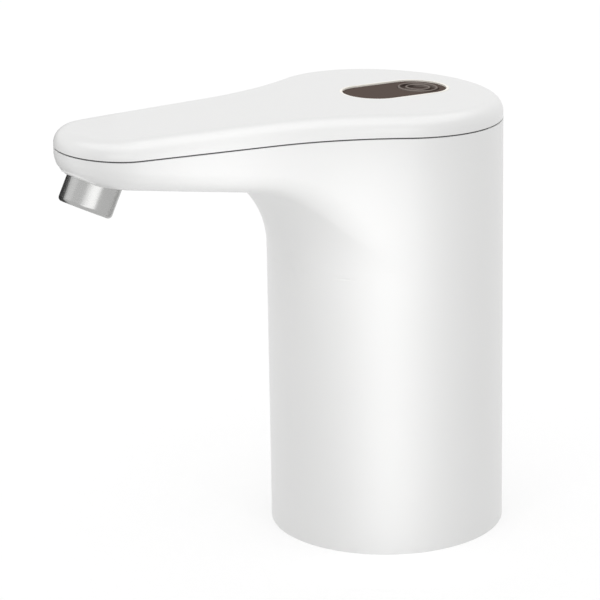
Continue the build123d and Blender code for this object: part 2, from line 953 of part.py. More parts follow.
with BuildPart() as nozzle_clip:
    with BuildSketch(nozzle_plane.offset(nozzle_seat_high)):
        Circle(clip_radius)
        Circle(nozzle_radius - clip_groove + fit_gap, mode=Mode.SUBTRACT)
        with Locations((-clip_radius, 0)):
            Rectangle(clip_radius, clip_thickness, mode=Mode.SUBTRACT)
    extrude(amount=clip_thickness)
save(nozzle_clip, "nozzle_clip")

# Perforated disc that calms the flow in the nozzle's mouth
with BuildPart() as flow_straightener:
    with BuildSketch(nozzle_plane.offset(straightener_low)):
        Circle(nozzle_bore - fit_gap)
        Circle(straightener_hole, mode=Mode.SUBTRACT)
        for ring in range(1, straightener_rings + 1):
            with PolarLocations(ring * straightener_pitch, 6 * ring):
                Circle(straightener_hole, mode=Mode.SUBTRACT)
    extrude(amount=straightener_height)
save(flow_straightener, "flow_straightener")

# Elbow from the outlet tube down into the nozzle
with BuildPart() as nozzle_elbow:
    with BuildSketch(nozzle_plane.offset(elbow_low)):
        Circle(nozzle_bore - fit_gap)
    extrude(amount=nozzle_length - elbow_low)
    with BuildSketch(nozzle_plane.offset(nozzle_length)):
        Circle(elbow_flange_radius)
    extrude(amount=elbow_flange_height)
    with BuildSketch(nozzle_plane.offset(nozzle_length + elbow_flange_height)):
        Circle(elbow_head_radius)
    extrude(amount=elbow_head_height)
    with BuildSketch(tube_plane):
        Circle(barb_radius)
    extrude(amount=elbow_head_radius + barb_length)
    with BuildSketch(nozzle_plane.offset(ring_groove_low)):
        Circle(nozzle_bore + overrun)
        Circle(nozzle_bore - 2 * ring_wire_radius, mode=Mode.SUBTRACT)
    extrude(amount=2 * ring_wire_radius, mode=Mode.SUBTRACT)
    with BuildSketch(nozzle_plane.offset(elbow_low - overrun)):
        Circle(port_bore)
    extrude(amount=elbow_axis - elbow_low + overrun, mode=Mode.SUBTRACT)
    with BuildSketch(tube_plane):
        Circle(port_bore)
    extrude(amount=elbow_head_radius + barb_length + overrun, mode=Mode.SUBTRACT)
save(nozzle_elbow, "nozzle_elbow")

with BuildPart() as nozzle_o_ring:
    with Locations(nozzle_plane.offset(ring_groove_low + ring_wire_radius)):
        Torus(nozzle_bore - ring_wire_radius - fit_gap / 2, ring_wire_radius - fit_gap)
save(nozzle_o_ring, "nozzle_o_ring")

# Soft outlet tube: up beside the pump, then along the spout
tube_foot = head_top + tube_end_gap
tube_end = tube_plane.origin + tube_plane.z_dir * (elbow_head_radius + tube_end_gap)
tube_corner = (outlet_x, elbow_point.Z - slope * (elbow_point.X - outlet_x))
with BuildPart() as outlet_tube:
    with BuildLine(Plane.XZ) as outlet_route:
        FilletPolyline(
            (outlet_x, tube_foot), tube_corner, (tube_end.X, tube_end.Z), radius=outlet_bend
        )
    with BuildSketch(Plane.XY.offset(tube_foot)):
        with Locations(outlet_at):
            Circle(tube_radius)
            Circle(tube_bore, mode=Mode.SUBTRACT)
    sweep(path=outlet_route.wire())
save(outlet_tube, "outlet_tube")

# Short soft tube from the spigot's barb to the pump's inlet
with BuildPart() as intake_tube:
    column(pump_at, base_top + tube_end_gap, pump_foot - tube_end_gap, tube_radius)
    column(pump_at, base_top, pump_foot, tube_bore, Mode.SUBTRACT)
save(intake_tube, "intake_tube")

# Spring bands on the ends of both tubes
band_planes = [
    Plane((pump_x, 0, base_top + clip_setback)),
    Plane((pump_x, 0, pump_foot - clip_setback - clip_width)),
    Plane((outlet_x, 0, tube_foot + clip_setback)),
    tube_plane.offset(elbow_head_radius + tube_end_gap + clip_setback),
]
with BuildPart() as tube_clips:
    for band_plane in band_planes:
        with BuildSketch(band_plane):
            Circle(tube_radius + fit_gap + clip_band)
            Circle(tube_radius + fit_gap, mode=Mode.SUBTRACT)
        extrude(amount=clip_width)
save(tube_clips, "tube_clips")

# Base plate: closes the body over the bottle neck and carries pump and cell
with BuildPart() as base_plate:
    column((0, 0), base_height, base_top, sleeve_bore - slip_gap)
    column(pump_at, base_height - spigot_length, base_height, spigot_radius)
    column(pump_at, base_top, base_top + barb_height, barb_radius)
    column(cell_at, base_top, socket_high, socket_outer)
    socket_floor = cell_foot - contact_thickness - cell_pad_height
    column(cell_at, socket_floor, socket_high + overrun, socket_radius, Mode.SUBTRACT)
    block(
        (cell_x - contact_width / 2 - contact_slot, -socket_outer - overrun, socket_floor),
        (cell_x + contact_width / 2 + contact_slot, 0, socket_high + overrun),
        Mode.SUBTRACT,
    )
    for point in post_points:
        column(point, base_top, bracket_height, post_radius)
        column(point, bracket_height - stud_length, bracket_top, stud_radius + fit_gap, Mode.SUBTRACT)
    for point in foot_points:
        column(point, base_top, pump_foot - foot_height, foot_radius)
    for point in boss_points:
        column(point, base_height - overrun, base_top + overrun, screw_radius + slip_gap, Mode.SUBTRACT)
    column(pump_at, base_height - spigot_length - overrun, base_height, spigot_bore, Mode.SUBTRACT)
    column(pump_at, base_height - overrun, base_top + barb_height + overrun, port_bore, Mode.SUBTRACT)
save(base_plate, "base_plate")

with BuildPart() as base_screws:
    for point in boss_points:
        screw(
            point,
            base_height,
            base_thickness + screw_depth - loose_gap,
            screw_radius - fit_gap,
            screw_head_radius,
            screw_head_height,
        )
save(base_screws, "base_screws")

# Soft collar: inner sleeve grips the bottle neck, ribs join it to the outer one
collar_outer = sleeve_bore - slip_gap
with BuildPart() as neck_collar:
    column((0, 0), collar_foot, collar_top, collar_outer)
    column(
        (0, 0),
        collar_foot - overrun,
        collar_top - collar_web,
        collar_outer - collar_sleeve,
        Mode.SUBTRACT,
    )
    column((0, 0), collar_foot, collar_top, neck_bore + collar_sleeve)
    with Locations((0, 0, collar_foot)):
        with PolarLocations((neck_bore + collar_outer) / 2, collar_ribs):
            Box(
                collar_outer - neck_bore - collar_sleeve,
                collar_rib,
                collar_top - collar_foot,
                align=UP,
            )
    column((0, 0), collar_foot - overrun, collar_top + overrun, neck_bore, Mode.SUBTRACT)
save(neck_collar, "neck_collar")

# Rubber feet between the base plate and the pump
with BuildPart() as pump_feet:
    for point in foot_points:
        column(point, pump_foot - foot_height, pump_foot, foot_radius)
save(pump_feet, "pump_feet")

# Pump head: inlet chamber in the middle, outlet chamber round it, side arm to the outlet
port_level = pump_foot + head_height / 2
with BuildPart() as pump_cover:
    add(pump_slice(pump_foot, head_top))
    block((pump_x, -outlet_arm, pump_foot), (outlet_x, outlet_arm, head_top))
    column(outlet_at, pump_foot, head_top, outlet_arm)
    column(outlet_at, head_top, head_top + outlet_barb, barb_radius)
    column(pump_at, pump_foot - port_length, pump_foot, barb_radius)
    column(pump_at, pump_foot + chamber_floor, head_top + overrun, outlet_chamber, Mode.SUBTRACT)
    column(pump_at, pump_foot, head_top, inlet_chamber + chamber_wall)
    column(pump_at, pump_foot + chamber_floor, head_top + overrun, inlet_chamber, Mode.SUBTRACT)
    column(pump_at, pump_foot - port_length - overrun, port_level, port_bore, Mode.SUBTRACT)
    column(outlet_at, port_level, head_top + outlet_barb + overrun, port_bore, Mode.SUBTRACT)
    bore_start = pump_x + inlet_chamber + 2 * chamber_wall
    with BuildSketch(Plane(origin=(bore_start, 0, port_level), x_dir=(0, 1, 0), z_dir=(1, 0, 0))):
        Circle(port_bore)
    extrude(amount=outlet_x - bore_start, mode=Mode.SUBTRACT)
save(pump_cover, "pump_cover")

# Valve plate with a stem hole and four flow holes for each of six valves
valve_points = around(inlet_ring, cup_angles, pump_at) + around(outlet_ring, cup_angles, pump_at)
with BuildPart() as valve_plate:
    add(pump_slice(head_top, valve_top))
    for point in valve_points:
        column(point, head_top - overrun, valve_top + overrun, valve_stem + fit_gap, Mode.SUBTRACT)
        with Locations((point[0], point[1], head_top)):
            with PolarLocations(flow_ring, flow_count):
                Cylinder(flow_hole, valve_height, align=UP, mode=Mode.SUBTRACT)
save(valve_plate, "valve_plate")

with BuildPart() as valve_flaps:
    for point in around(inlet_ring, cup_angles, pump_at):
        column(point, valve_top, valve_top + flap_thickness, flap_radius)
        column(point, head_top, valve_top, valve_stem)
    for point in around(outlet_ring, cup_angles, pump_at):
        column(point, head_top - flap_thickness, head_top, flap_radius)
        column(point, head_top, valve_top, valve_stem)
save(valve_flaps, "valve_flaps")

# Diaphragm: a flange with three cups, each up to its arm of the swing plate
tilt = radians(wobble_angle)
with BuildPart() as diaphragm:
    add(pump_slice(valve_top, flange_top))
    for angle, point in zip(cup_angles, around(cup_ring, cup_angles, pump_at)):
        arm_low = pivot_height - arm_thickness / 2 / cos(tilt)
        arm_low -= cup_ring * sin(tilt) * cos(radians(angle)) + cup_button * sin(tilt)
        cup_top = arm_low - loose_gap
        column(point, flange_top, cup_top - cup_shoulder, cup_radius)
        column(point, flange_top, cup_top, cup_button)
        column(
            point,
            valve_top - overrun,
            cup_top - cup_shoulder - cup_wall,
            cup_radius - cup_wall,
            Mode.SUBTRACT,
        )
save(diaphragm, "diaphragm")

with BuildPart() as pump_housing:
    add(pump_slice(flange_top, motor_foot))
    column(pump_at, flange_top - overrun, motor_foot - housing_roof, housing_cavity, Mode.SUBTRACT)
    column(pump_at, flange_top, motor_foot + overrun, neck_hole, Mode.SUBTRACT)
    for point in motor_screw_points:
        column(
            point,
            flange_top,
            motor_foot + overrun,
            motor_screw_radius + slip_gap,
            Mode.SUBTRACT,
        )
save(pump_housing, "pump_housing")

with BuildPart() as pump_screws:
    for point in bolt_points:
        screw(
            point,
            pump_foot,
            motor_foot - housing_roof - pump_foot,
            pump_bolt_radius,
            pump_bolt_head,
            pump_bolt_head_height,
        )
save(pump_screws, "pump_screws")

# Swing plate: three arms on a hub that turns on the inclined pin
with BuildPart() as wobble_plate:
    with BuildSketch(pivot_plane.offset(-arm_thickness / 2)):
        Circle(hub_radius)
        with PolarLocations(arm_reach / 2, cup_count):
            SlotOverall(arm_reach, arm_width)
    extrude(amount=arm_thickness)
    with BuildSketch(pivot_plane):
        Circle(hub_radius)
    extrude(amount=hub_height)
    with BuildSketch(pivot_plane.offset(-pin_low - plunger_gap)):
        Circle(pin_radius + slip_gap)
    extrude(amount=hub_height + arm_thickness, mode=Mode.SUBTRACT)
save(wobble_plate, "wobble_plate")

with BuildPart() as wobble_pin:
    with BuildSketch(pivot_plane.offset(-pin_low)):
        Circle(pin_radius)
    extrude(amount=pin_low + pin_high)
save(wobble_pin, "wobble_pin")

with BuildPart() as drive_cam:
    column(pump_at, cam_low, cam_high, cam_radius)
    block(
        (pump_x - cam_radius, -cam_radius, cam_low),
        (pump_x - cam_flat, cam_radius, cam_high),
        Mode.SUBTRACT,
    )
    column(pump_at, cam_high, cam_neck_high, cam_neck_radius)
    column(pump_at, shaft_low, cam_neck_high + overrun, shaft_radius + fit_gap, Mode.SUBTRACT)
    with BuildSketch(pivot_plane):
        Circle(pin_radius + fit_gap)
    extrude(amount=pin_high + fit_gap, mode=Mode.SUBTRACT)
save(drive_cam, "drive_cam")

# Motor
magnet_outer = can_radius - can_wall - fit_gap
with BuildPart() as motor_can:
    column(pump_at, motor_foot, can_top, can_radius)
    column(pump_at, motor_foot + can_floor, can_top + overrun, can_radius - can_wall, Mode.SUBTRACT)
    column(pump_at, motor_foot - overrun, can_top, shaft_radius + slip_gap, Mode.SUBTRACT)
    for point in motor_screw_points:
        column(point, motor_foot - overrun, can_top, motor_screw_radius + fit_gap, Mode.SUBTRACT)
save(motor_can, "motor_can")

with BuildPart() as motor_screws:
    for point in motor_screw_points:
        screw(
            point,
            motor_foot - housing_roof,
            housing_roof + can_floor + motor_screw_spare,
            motor_screw_radius,
            motor_screw_head,
            motor_screw_head_height,
        )
save(motor_screws, "motor_screws")

with BuildPart() as motor_magnets:
    column(pump_at, magnet_low, magnet_high, magnet_outer)
    column(pump_at, magnet_low - overrun, magnet_high + overrun, magnet_inner, Mode.SUBTRACT)
    magnet_cut = magnet_outer * cos(radians(magnet_arc / 2))
    block(
        (pump_x - can_radius, -magnet_cut, magnet_low - overrun),
        (pump_x + can_radius, magnet_cut, magnet_high + overrun),
        Mode.SUBTRACT,
    )
save(motor_magnets, "motor_magnets")

with BuildPart() as motor_rotor:
    column(pump_at, armature_low, armature_high, armature_radius)
    with Locations((pump_x, 0, armature_low)):
        with PolarLocations((armature_radius + armature_core) / 2, cup_count, start_angle=60):
            Box(
                armature_radius - armature_core + overrun,
                armature_slot,
                armature_high - armature_low,
                align=UP,
                mode=Mode.SUBTRACT,
            )
    column(pump_at, armature_high, commutator_high, commutator_radius)
    column(pump_at, shaft_low, can_top + end_cap_rise, shaft_radius)
save(motor_rotor, "motor_rotor")

terminal_points = [(pump_x, terminal_ring), (pump_x, -terminal_ring)]
with BuildPart() as motor_end_cap:
    column(pump_at, can_top - end_cap_depth, can_top, magnet_outer)
    column(pump_at, can_top, can_top + end_cap_rise, can_radius)
    column(pump_at, can_top + end_cap_rise, can_top + end_bush_rise, end_bush_radius)
    column(
        pump_at,
        can_top - end_cap_depth - overrun,
        can_top + end_cap_rise + slip_gap,
        shaft_radius + slip_gap,
        Mode.SUBTRACT,
    )
    for point in terminal_points:
        with Locations((point[0], point[1], can_top)):
            Box(terminal_width, terminal_thickness, 2 * terminal_rise, mode=Mode.SUBTRACT)
save(motor_end_cap, "motor_end_cap")

with BuildPart() as motor_terminals:
    for point in terminal_points:
        with Locations((point[0], point[1], can_top - end_cap_depth)):
            Box(terminal_width, terminal_thickness, end_cap_depth + terminal_rise, align=UP)
save(motor_terminals, "motor_terminals")

with BuildPart() as motor_leads:
    for point in terminal_points:
        column(point, can_top + terminal_rise, board_low, lead_radius)
save(motor_leads, "motor_leads")

with BuildPart() as motor_sleeve:
    column(pump_at, magnet_low, magnet_high, sleeve_radius)
    column(pump_at, magnet_low - overrun, magnet_high + overrun, can_radius + fit_gap, Mode.SUBTRACT)
save(motor_sleeve, "motor_sleeve")

with BuildPart() as pump_bracket:
    with BuildSketch(Plane.XY.offset(bracket_height)):
        with Locations(pump_at):
            Circle(bracket_radius)
            SlotCenterToCenter(2 * post_reach, 2 * post_radius, rotation=90)
            Circle(sleeve_radius + fit_gap, mode=Mode.SUBTRACT)
        with Locations(*post_points):
            Circle(stud_radius + fit_gap, mode=Mode.SUBTRACT)
    extrude(amount=bracket_thickness)
save(pump_bracket, "pump_bracket")

with BuildPart() as deck_spacers:
    for point in post_points:
        with BuildSketch(Plane.XY.offset(bracket_top)):
            with Locations(point):
                RegularPolygon(spacer_radius, 6)
        extrude(amount=deck_height - bracket_top)
        column(point, bracket_height - stud_length + loose_gap, bracket_top, stud_radius)
        column(
            point,
            deck_height - stud_length,
            deck_height + overrun,
            thread_radius + fit_gap,
            Mode.SUBTRACT,
        )
save(deck_spacers, "deck_spacers")

with BuildPart() as deck_screws:
    for point in post_points:
        screw(
            point,
            deck_top,
            deck_thickness + stud_length - loose_gap,
            thread_radius,
            screw_head_radius,
            screw_head_height,
            up=-1,
        )
save(deck_screws, "deck_screws")

# Upper deck: holds the cell's top end and carries the board
with BuildPart() as upper_deck:
    column((0, 0), deck_height, deck_top, deck_radius)
    column(cell_at, skirt_low, deck_height, socket_outer)
    column(cell_at, skirt_low - overrun, deck_height, socket_radius, Mode.SUBTRACT)
    block(
        (cell_x - contact_width / 2 - contact_slot, 0, skirt_low - overrun),
        (cell_x + contact_width / 2 + contact_slot, socket_outer + overrun, deck_height),
        Mode.SUBTRACT,
    )
    column(pump_at, deck_height - overrun, deck_top + overrun, deck_hole, Mode.SUBTRACT)
    column(outlet_at, deck_height - overrun, deck_top + overrun, deck_notch, Mode.SUBTRACT)
    block(
        (outlet_x, -deck_notch, deck_height - overrun),
        (deck_radius + overrun, deck_notch, deck_top + overrun),
        Mode.SUBTRACT,
    )
    for point in ((cell_x, lead_ring), (cell_x, -lead_ring)):
        column(point, deck_height - overrun, deck_top + overrun, lead_hole, Mode.SUBTRACT)
    for point in post_points:
        column(point, deck_height - overrun, deck_top + overrun, screw_radius, Mode.SUBTRACT)
    for point in board_screw_points:
        column(point, deck_top, board_low, standoff_radius)
        column(point, deck_top, board_low + overrun, board_screw_radius + fit_gap, Mode.SUBTRACT)
save(upper_deck, "upper_deck")

# Cell with its contact strips, foam pads and leads
with BuildPart() as battery_cell:
    column(cell_at, cell_foot, cell_top - cell_cap_height, cell_radius)
    column(cell_at, cell_top - cell_cap_height, cell_top, cell_cap_radius)
save(battery_cell, "battery_cell")

with BuildPart() as cell_contacts:
    block(
        (cell_x - contact_width / 2, -contact_reach, cell_foot - contact_thickness),
        (cell_x + contact_width / 2, contact_tail, cell_foot),
    )
    block(
        (cell_x - contact_width / 2, -contact_tail, cell_top),
        (cell_x + contact_width / 2, contact_reach, cell_top + contact_thickness),
    )
save(cell_contacts, "cell_contacts")

with BuildPart() as cell_pads:
    column(cell_at, socket_floor, cell_foot - contact_thickness, cell_pad_radius)
    column(cell_at, cell_top + contact_thickness, deck_height, cell_pad_radius)
save(cell_pads, "cell_pads")

with BuildPart() as battery_leads:
    column((cell_x, -lead_ring), cell_foot, board_low, lead_radius)
    column((cell_x, lead_ring), cell_top + contact_thickness, board_low, lead_radius)
save(battery_leads, "battery_leads")

# Main board and what is soldered to it
with BuildPart() as main_board:
    block(
        (board_rear, -board_half_width, board_low), (board_front, board_half_width, board_top)
    )
    chamfer(main_board.edges().filter_by(Axis.Z).group_by(Axis.X)[0], board_chamfer)
    for point in board_screw_points:
        column(
            point,
            board_low - overrun,
            board_top + overrun,
            board_screw_radius + slip_gap,
            Mode.SUBTRACT,
        )
save(main_board, "main_board")

with BuildPart() as board_screws:
    for point in board_screw_points:
        screw(
            point,
            board_top,
            board_thickness + standoff_height - loose_gap,
            board_screw_radius,
            board_screw_head,
            board_screw_head_height,
            up=-1,
        )
save(board_screws, "board_screws")

with BuildPart() as board_chips:
    for (x, y), size in chip_sizes:
        with Locations((x, y, board_top)):
            Box(*size, align=UP)
save(board_chips, "board_chips")

lamp_spot = seam_plane.from_local_coords(Vector(window_centre, 0, lamp_depth))
with BuildPart() as indicator_leds:
    with Locations((lamp_spot.X, 0, board_top)):
        with GridLocations(window_pitch, 0, window_count, 1):
            Box(led_length, led_width, led_height, align=UP)
save(indicator_leds, "indicator_leds")

# Charging receptacle and its tongue
receptacle_plane = rear_plane.offset(-receptacle_front)
with BuildPart() as charging_port:
    with BuildSketch(receptacle_plane):
        RectangleRounded(receptacle_width, receptacle_height, receptacle_height / 2 - fit_gap)
    extrude(amount=-receptacle_length)
    with BuildSketch(receptacle_plane):
        RectangleRounded(
            receptacle_width - 2 * receptacle_wall,
            receptacle_height - 2 * receptacle_wall,
            receptacle_height / 2 - receptacle_wall - fit_gap,
        )
    extrude(amount=receptacle_wall - receptacle_length, mode=Mode.SUBTRACT)
save(charging_port, "charging_port")

with BuildPart() as port_tongue:
    with BuildSketch(receptacle_plane.offset(receptacle_wall - receptacle_length)):
        Rectangle(tongue_width, tongue_height)
    extrude(amount=tongue_length)
save(port_tongue, "port_tongue")

# Soft flap that closes the charging port
flap_plane = rear_plane.offset(-recess_floor + flap_seat)
with BuildPart() as port_plug:
    with BuildSketch(flap_plane):
        RectangleRounded(flap_width, flap_height, flap_corner)
    extrude(amount=body_radius)
    column(
        (0, 0), port_centre - flap_height, port_centre + flap_height, body_radius, Mode.INTERSECT
    )
    with BuildSketch(flap_plane):
        RectangleRounded(plug_width, 2 * plug_half_height, plug_half_height - fit_gap)
    extrude(amount=-plug_depth)
save(port_plug, "port_plug")
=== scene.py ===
"""Looks of the bottled water pump: finishes for its solids, fine pieces, light and camera."""
from __future__ import annotations

import json
import logging
from dataclasses import dataclass
from enum import Enum
from math import atan2, cos, pi, radians, sin, sqrt, tau

import bmesh
import bpy
from bpy.types import Material, Mesh, Node, NodeSocket, Object
from mathutils import Matrix, Vector

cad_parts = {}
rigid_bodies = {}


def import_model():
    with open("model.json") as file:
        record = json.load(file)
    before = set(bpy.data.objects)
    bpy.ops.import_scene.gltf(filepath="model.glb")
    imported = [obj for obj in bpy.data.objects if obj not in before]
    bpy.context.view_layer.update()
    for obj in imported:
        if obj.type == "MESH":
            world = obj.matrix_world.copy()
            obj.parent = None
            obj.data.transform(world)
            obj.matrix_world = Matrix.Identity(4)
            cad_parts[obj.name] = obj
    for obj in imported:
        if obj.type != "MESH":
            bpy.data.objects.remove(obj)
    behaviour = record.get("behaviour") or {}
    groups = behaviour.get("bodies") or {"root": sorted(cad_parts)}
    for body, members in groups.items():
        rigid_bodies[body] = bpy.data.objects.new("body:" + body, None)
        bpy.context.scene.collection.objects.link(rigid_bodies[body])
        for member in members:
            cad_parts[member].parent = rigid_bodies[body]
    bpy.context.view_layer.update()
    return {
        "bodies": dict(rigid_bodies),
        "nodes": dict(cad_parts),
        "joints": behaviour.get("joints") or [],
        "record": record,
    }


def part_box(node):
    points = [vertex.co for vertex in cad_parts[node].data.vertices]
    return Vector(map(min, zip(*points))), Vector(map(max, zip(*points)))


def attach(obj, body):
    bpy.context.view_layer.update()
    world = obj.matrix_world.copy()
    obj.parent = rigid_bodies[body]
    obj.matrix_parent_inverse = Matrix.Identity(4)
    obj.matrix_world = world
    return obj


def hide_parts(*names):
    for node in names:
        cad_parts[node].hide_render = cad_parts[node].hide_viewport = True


LOG = logging.getLogger("water_pump")
MM = 0.001
SHARP_ANGLE = radians(32)
PUMP_AXIS_X = 6.0
BUTTON_X = -13.2
BUTTON_RINGS = ((3.1, 3.95), (5.4, 6.3))

Colour = tuple[float, float, float]
Point = tuple[float, float, float]
Spot = tuple[float, float]
Face = tuple[int, ...]
Values = dict[str | int, object]
Copy = tuple[Point, Point]


def place(name: str, data: bpy.types.ID) -> Object:
    """Put a new object into the scene, at the origin.

    Args:
        name: The object's name.
        data: Its mesh, lamp or camera.

    Returns:
        The object.
    """
    made = bpy.data.objects.new(name, data)
    bpy.context.scene.collection.objects.link(made)
    return made


def raw_mesh(name: str, points: list[Point], faces: list[Face]) -> Mesh:
    """Make a mesh.

    Args:
        name: The mesh's name.
        points: Its corner points, in metres.
        faces: Its faces, as numbers of points.

    Returns:
        The new mesh.
    """
    mesh = bpy.data.meshes.new(name)
    mesh.from_pydata(points, [], faces)
    return mesh


def soften(mesh: Mesh) -> None:
    """Shade a mesh smooth, except across its sharp edges."""
    mesh.shade_smooth()
    mesh.set_sharp_from_angle(angle=SHARP_ANGLE)


class Signal:
    """A number that comes out of a node, for use in plain arithmetic."""

    def __init__(self, graph: NodeGraph, socket: NodeSocket) -> None:
        """Keep the number's node tree, and the output that gives it."""
        self.graph = graph
        self.socket = socket

    def _join(self, operation: str, *values: Signal | float) -> Signal:
        """Put values through a Math node.

        Args:
            operation: Blender's name of the operation.
            values: What goes in, in order.

        Returns:
            The result.
        """
        node = self.graph.node("ShaderNodeMath", dict(enumerate(values)), operation=operation)
        return Signal(self.graph, node.outputs[0])

    def __add__(self, other: Signal | float) -> Signal:
        """Return the sum."""
        return self._join("ADD", self, other)

    def __sub__(self, other: Signal | float) -> Signal:
        """Return the difference."""
        return self._join("SUBTRACT", self, other)

    def __rsub__(self, other: Signal | float) -> Signal:
        """Return the difference the other way round."""
        return self._join("SUBTRACT", other, self)

    def __mul__(self, other: Signal | float) -> Signal:
        """Return the product."""
        return self._join("MULTIPLY", self, other)

    def __truediv__(self, other: Signal | float) -> Signal:
        """Return the quotient."""
        return self._join("DIVIDE", self, other)

    def power(self, other: Signal | float) -> Signal:
        """Return this value raised to a power."""
        return self._join("POWER", self, other)

    def root(self) -> Signal:
        """Return the square root."""
        return self._join("SQRT", self)

    def size(self) -> Signal:
        """Return the value without its sign."""
        return self._join("ABSOLUTE", self)

    def most(self, other: Signal | float) -> Signal:
        """Return the larger of two values."""
        return self._join("MAXIMUM", self, other)

    def share(self, low: float, high: float) -> Signal:
        """Return 0 below low and 1 above high, with a soft step between.

        Args:
            low: Value at which the step starts.
            high: Value at which the step ends.

        Returns:
            The step as a signal from 0 to 1.
        """
        values = {"Value": self, "From Min": low, "From Max": high}
        node = self.graph.node("ShaderNodeMapRange", values, interpolation_type="SMOOTHSTEP")
        return Signal(self.graph, node.outputs[0])


class NodeGraph:
    """A node tree that is filled by plain calls."""

    def __init__(self, tree: bpy.types.NodeTree, end: str) -> None:
        """Empty the tree and add the node at its end.

        Args:
            tree: The node tree.
            end: Blender's name of the output node's type.
        """
        self.tree = tree
        self.tree.nodes.clear()
        self.output = self.node(end)

    def node(self, kind: str, values: Values | None = None, **settings: object) -> Node:
        """Add a node.

        Args:
            kind: Blender's name of the node type.
            values: What goes into the inputs, by name or number: a number, colour, socket,
                signal, a node for its first output, or a list of these.
            settings: Properties of the node, set before its inputs.

        Returns:
            The new node.
        """
        made = self.tree.nodes.new(kind)
        for key, setting in settings.items():
            setattr(made, key, setting)
        for key, value in (values or {}).items():
            entry = made.inputs[key]
            for part in value if isinstance(value, list) else [value]:
                if isinstance(part, Signal):
                    part = part.socket
                elif isinstance(part, Node):
                    part = part.outputs[0]
                if isinstance(part, NodeSocket):
                    self.tree.links.new(part, entry)
                elif entry.type == "RGBA":
                    entry.default_value = (*part, 1.0)
                else:
                    entry.default_value = part
        return made

    def close(self, last: Node) -> None:
        """Link the last node to the tree's output.

        Args:
            last: The node whose first output is the tree's result.
        """
        self.tree.links.new(last.outputs[0], self.output.inputs[0])


class ShaderGraph(NodeGraph):
    """The node tree of one material."""

    def __init__(self, name: str) -> None:
        """Start an empty material with its output node.

        Args:
            name: Name of the material.
        """
        self.material = bpy.data.materials.new(name)
        self.material.use_nodes = True
        super().__init__(self.material.node_tree, "ShaderNodeOutputMaterial")
        self._spot: NodeSocket | None = None

    def spot(self) -> NodeSocket:
        """Return the object coordinates."""
        if self._spot is None:
            self._spot = self.node("ShaderNodeTexCoord").outputs["Object"]
        return self._spot

    def axes(self, centre: Point) -> list[Signal]:
        """Return the three object coordinates in millimetres.

        Args:
            centre: Point in millimetres that they are counted from.

        Returns:
            The x, y and z signals.
        """
        values = {"Vector": self.spot(), "Location": tuple(c * MM for c in centre)}
        move = self.node("ShaderNodeMapping", values, vector_type="TEXTURE")
        split = self.node("ShaderNodeSeparateXYZ", {0: move})
        return [Signal(self, socket) * (1 / MM) for socket in split.outputs]

    def noise(self, pitch_mm: float, detail: float, stretch: Point = (1, 1, 1)) -> Signal:
        """Return soft random variation from 0 to 1.

        Args:
            pitch_mm: Distance between its spots.
            detail: How many finer layers lie over it.
            stretch: How much longer the spots are along each axis.

        Returns:
            The noise as a signal.
        """
        scale = tuple(1 / (pitch_mm * MM * s) for s in stretch)
        move = self.node("ShaderNodeMapping", {"Vector": self.spot(), "Scale": scale})
        node = self.node("ShaderNodeTexNoise", {"Vector": move, "Scale": 1.0, "Detail": detail})
        return Signal(self, node.outputs["Fac"])

    def mix(self, factor: Signal, first: Colour, second: Colour) -> NodeSocket:
        """Return a blend of two colours.

        Args:
            factor: 0 gives the first colour and 1 the second.
            first: A colour.
            second: A colour.

        Returns:
            The blended colour's socket.
        """
        node = self.node("ShaderNodeMix", {0: factor, 6: first, 7: second}, data_type="RGBA")
        return node.outputs[2]

    def bump(self, height: Signal, depth_mm: float) -> Node:
        """Return a normal that shows a height as relief.

        Args:
            height: The relief, from 0 to 1.
            depth_mm: Depth of the relief.

        Returns:
            The bump node.
        """
        values = {"Height": height, "Distance": depth_mm * MM, "Strength": 1.0}
        return self.node("ShaderNodeBump", values)


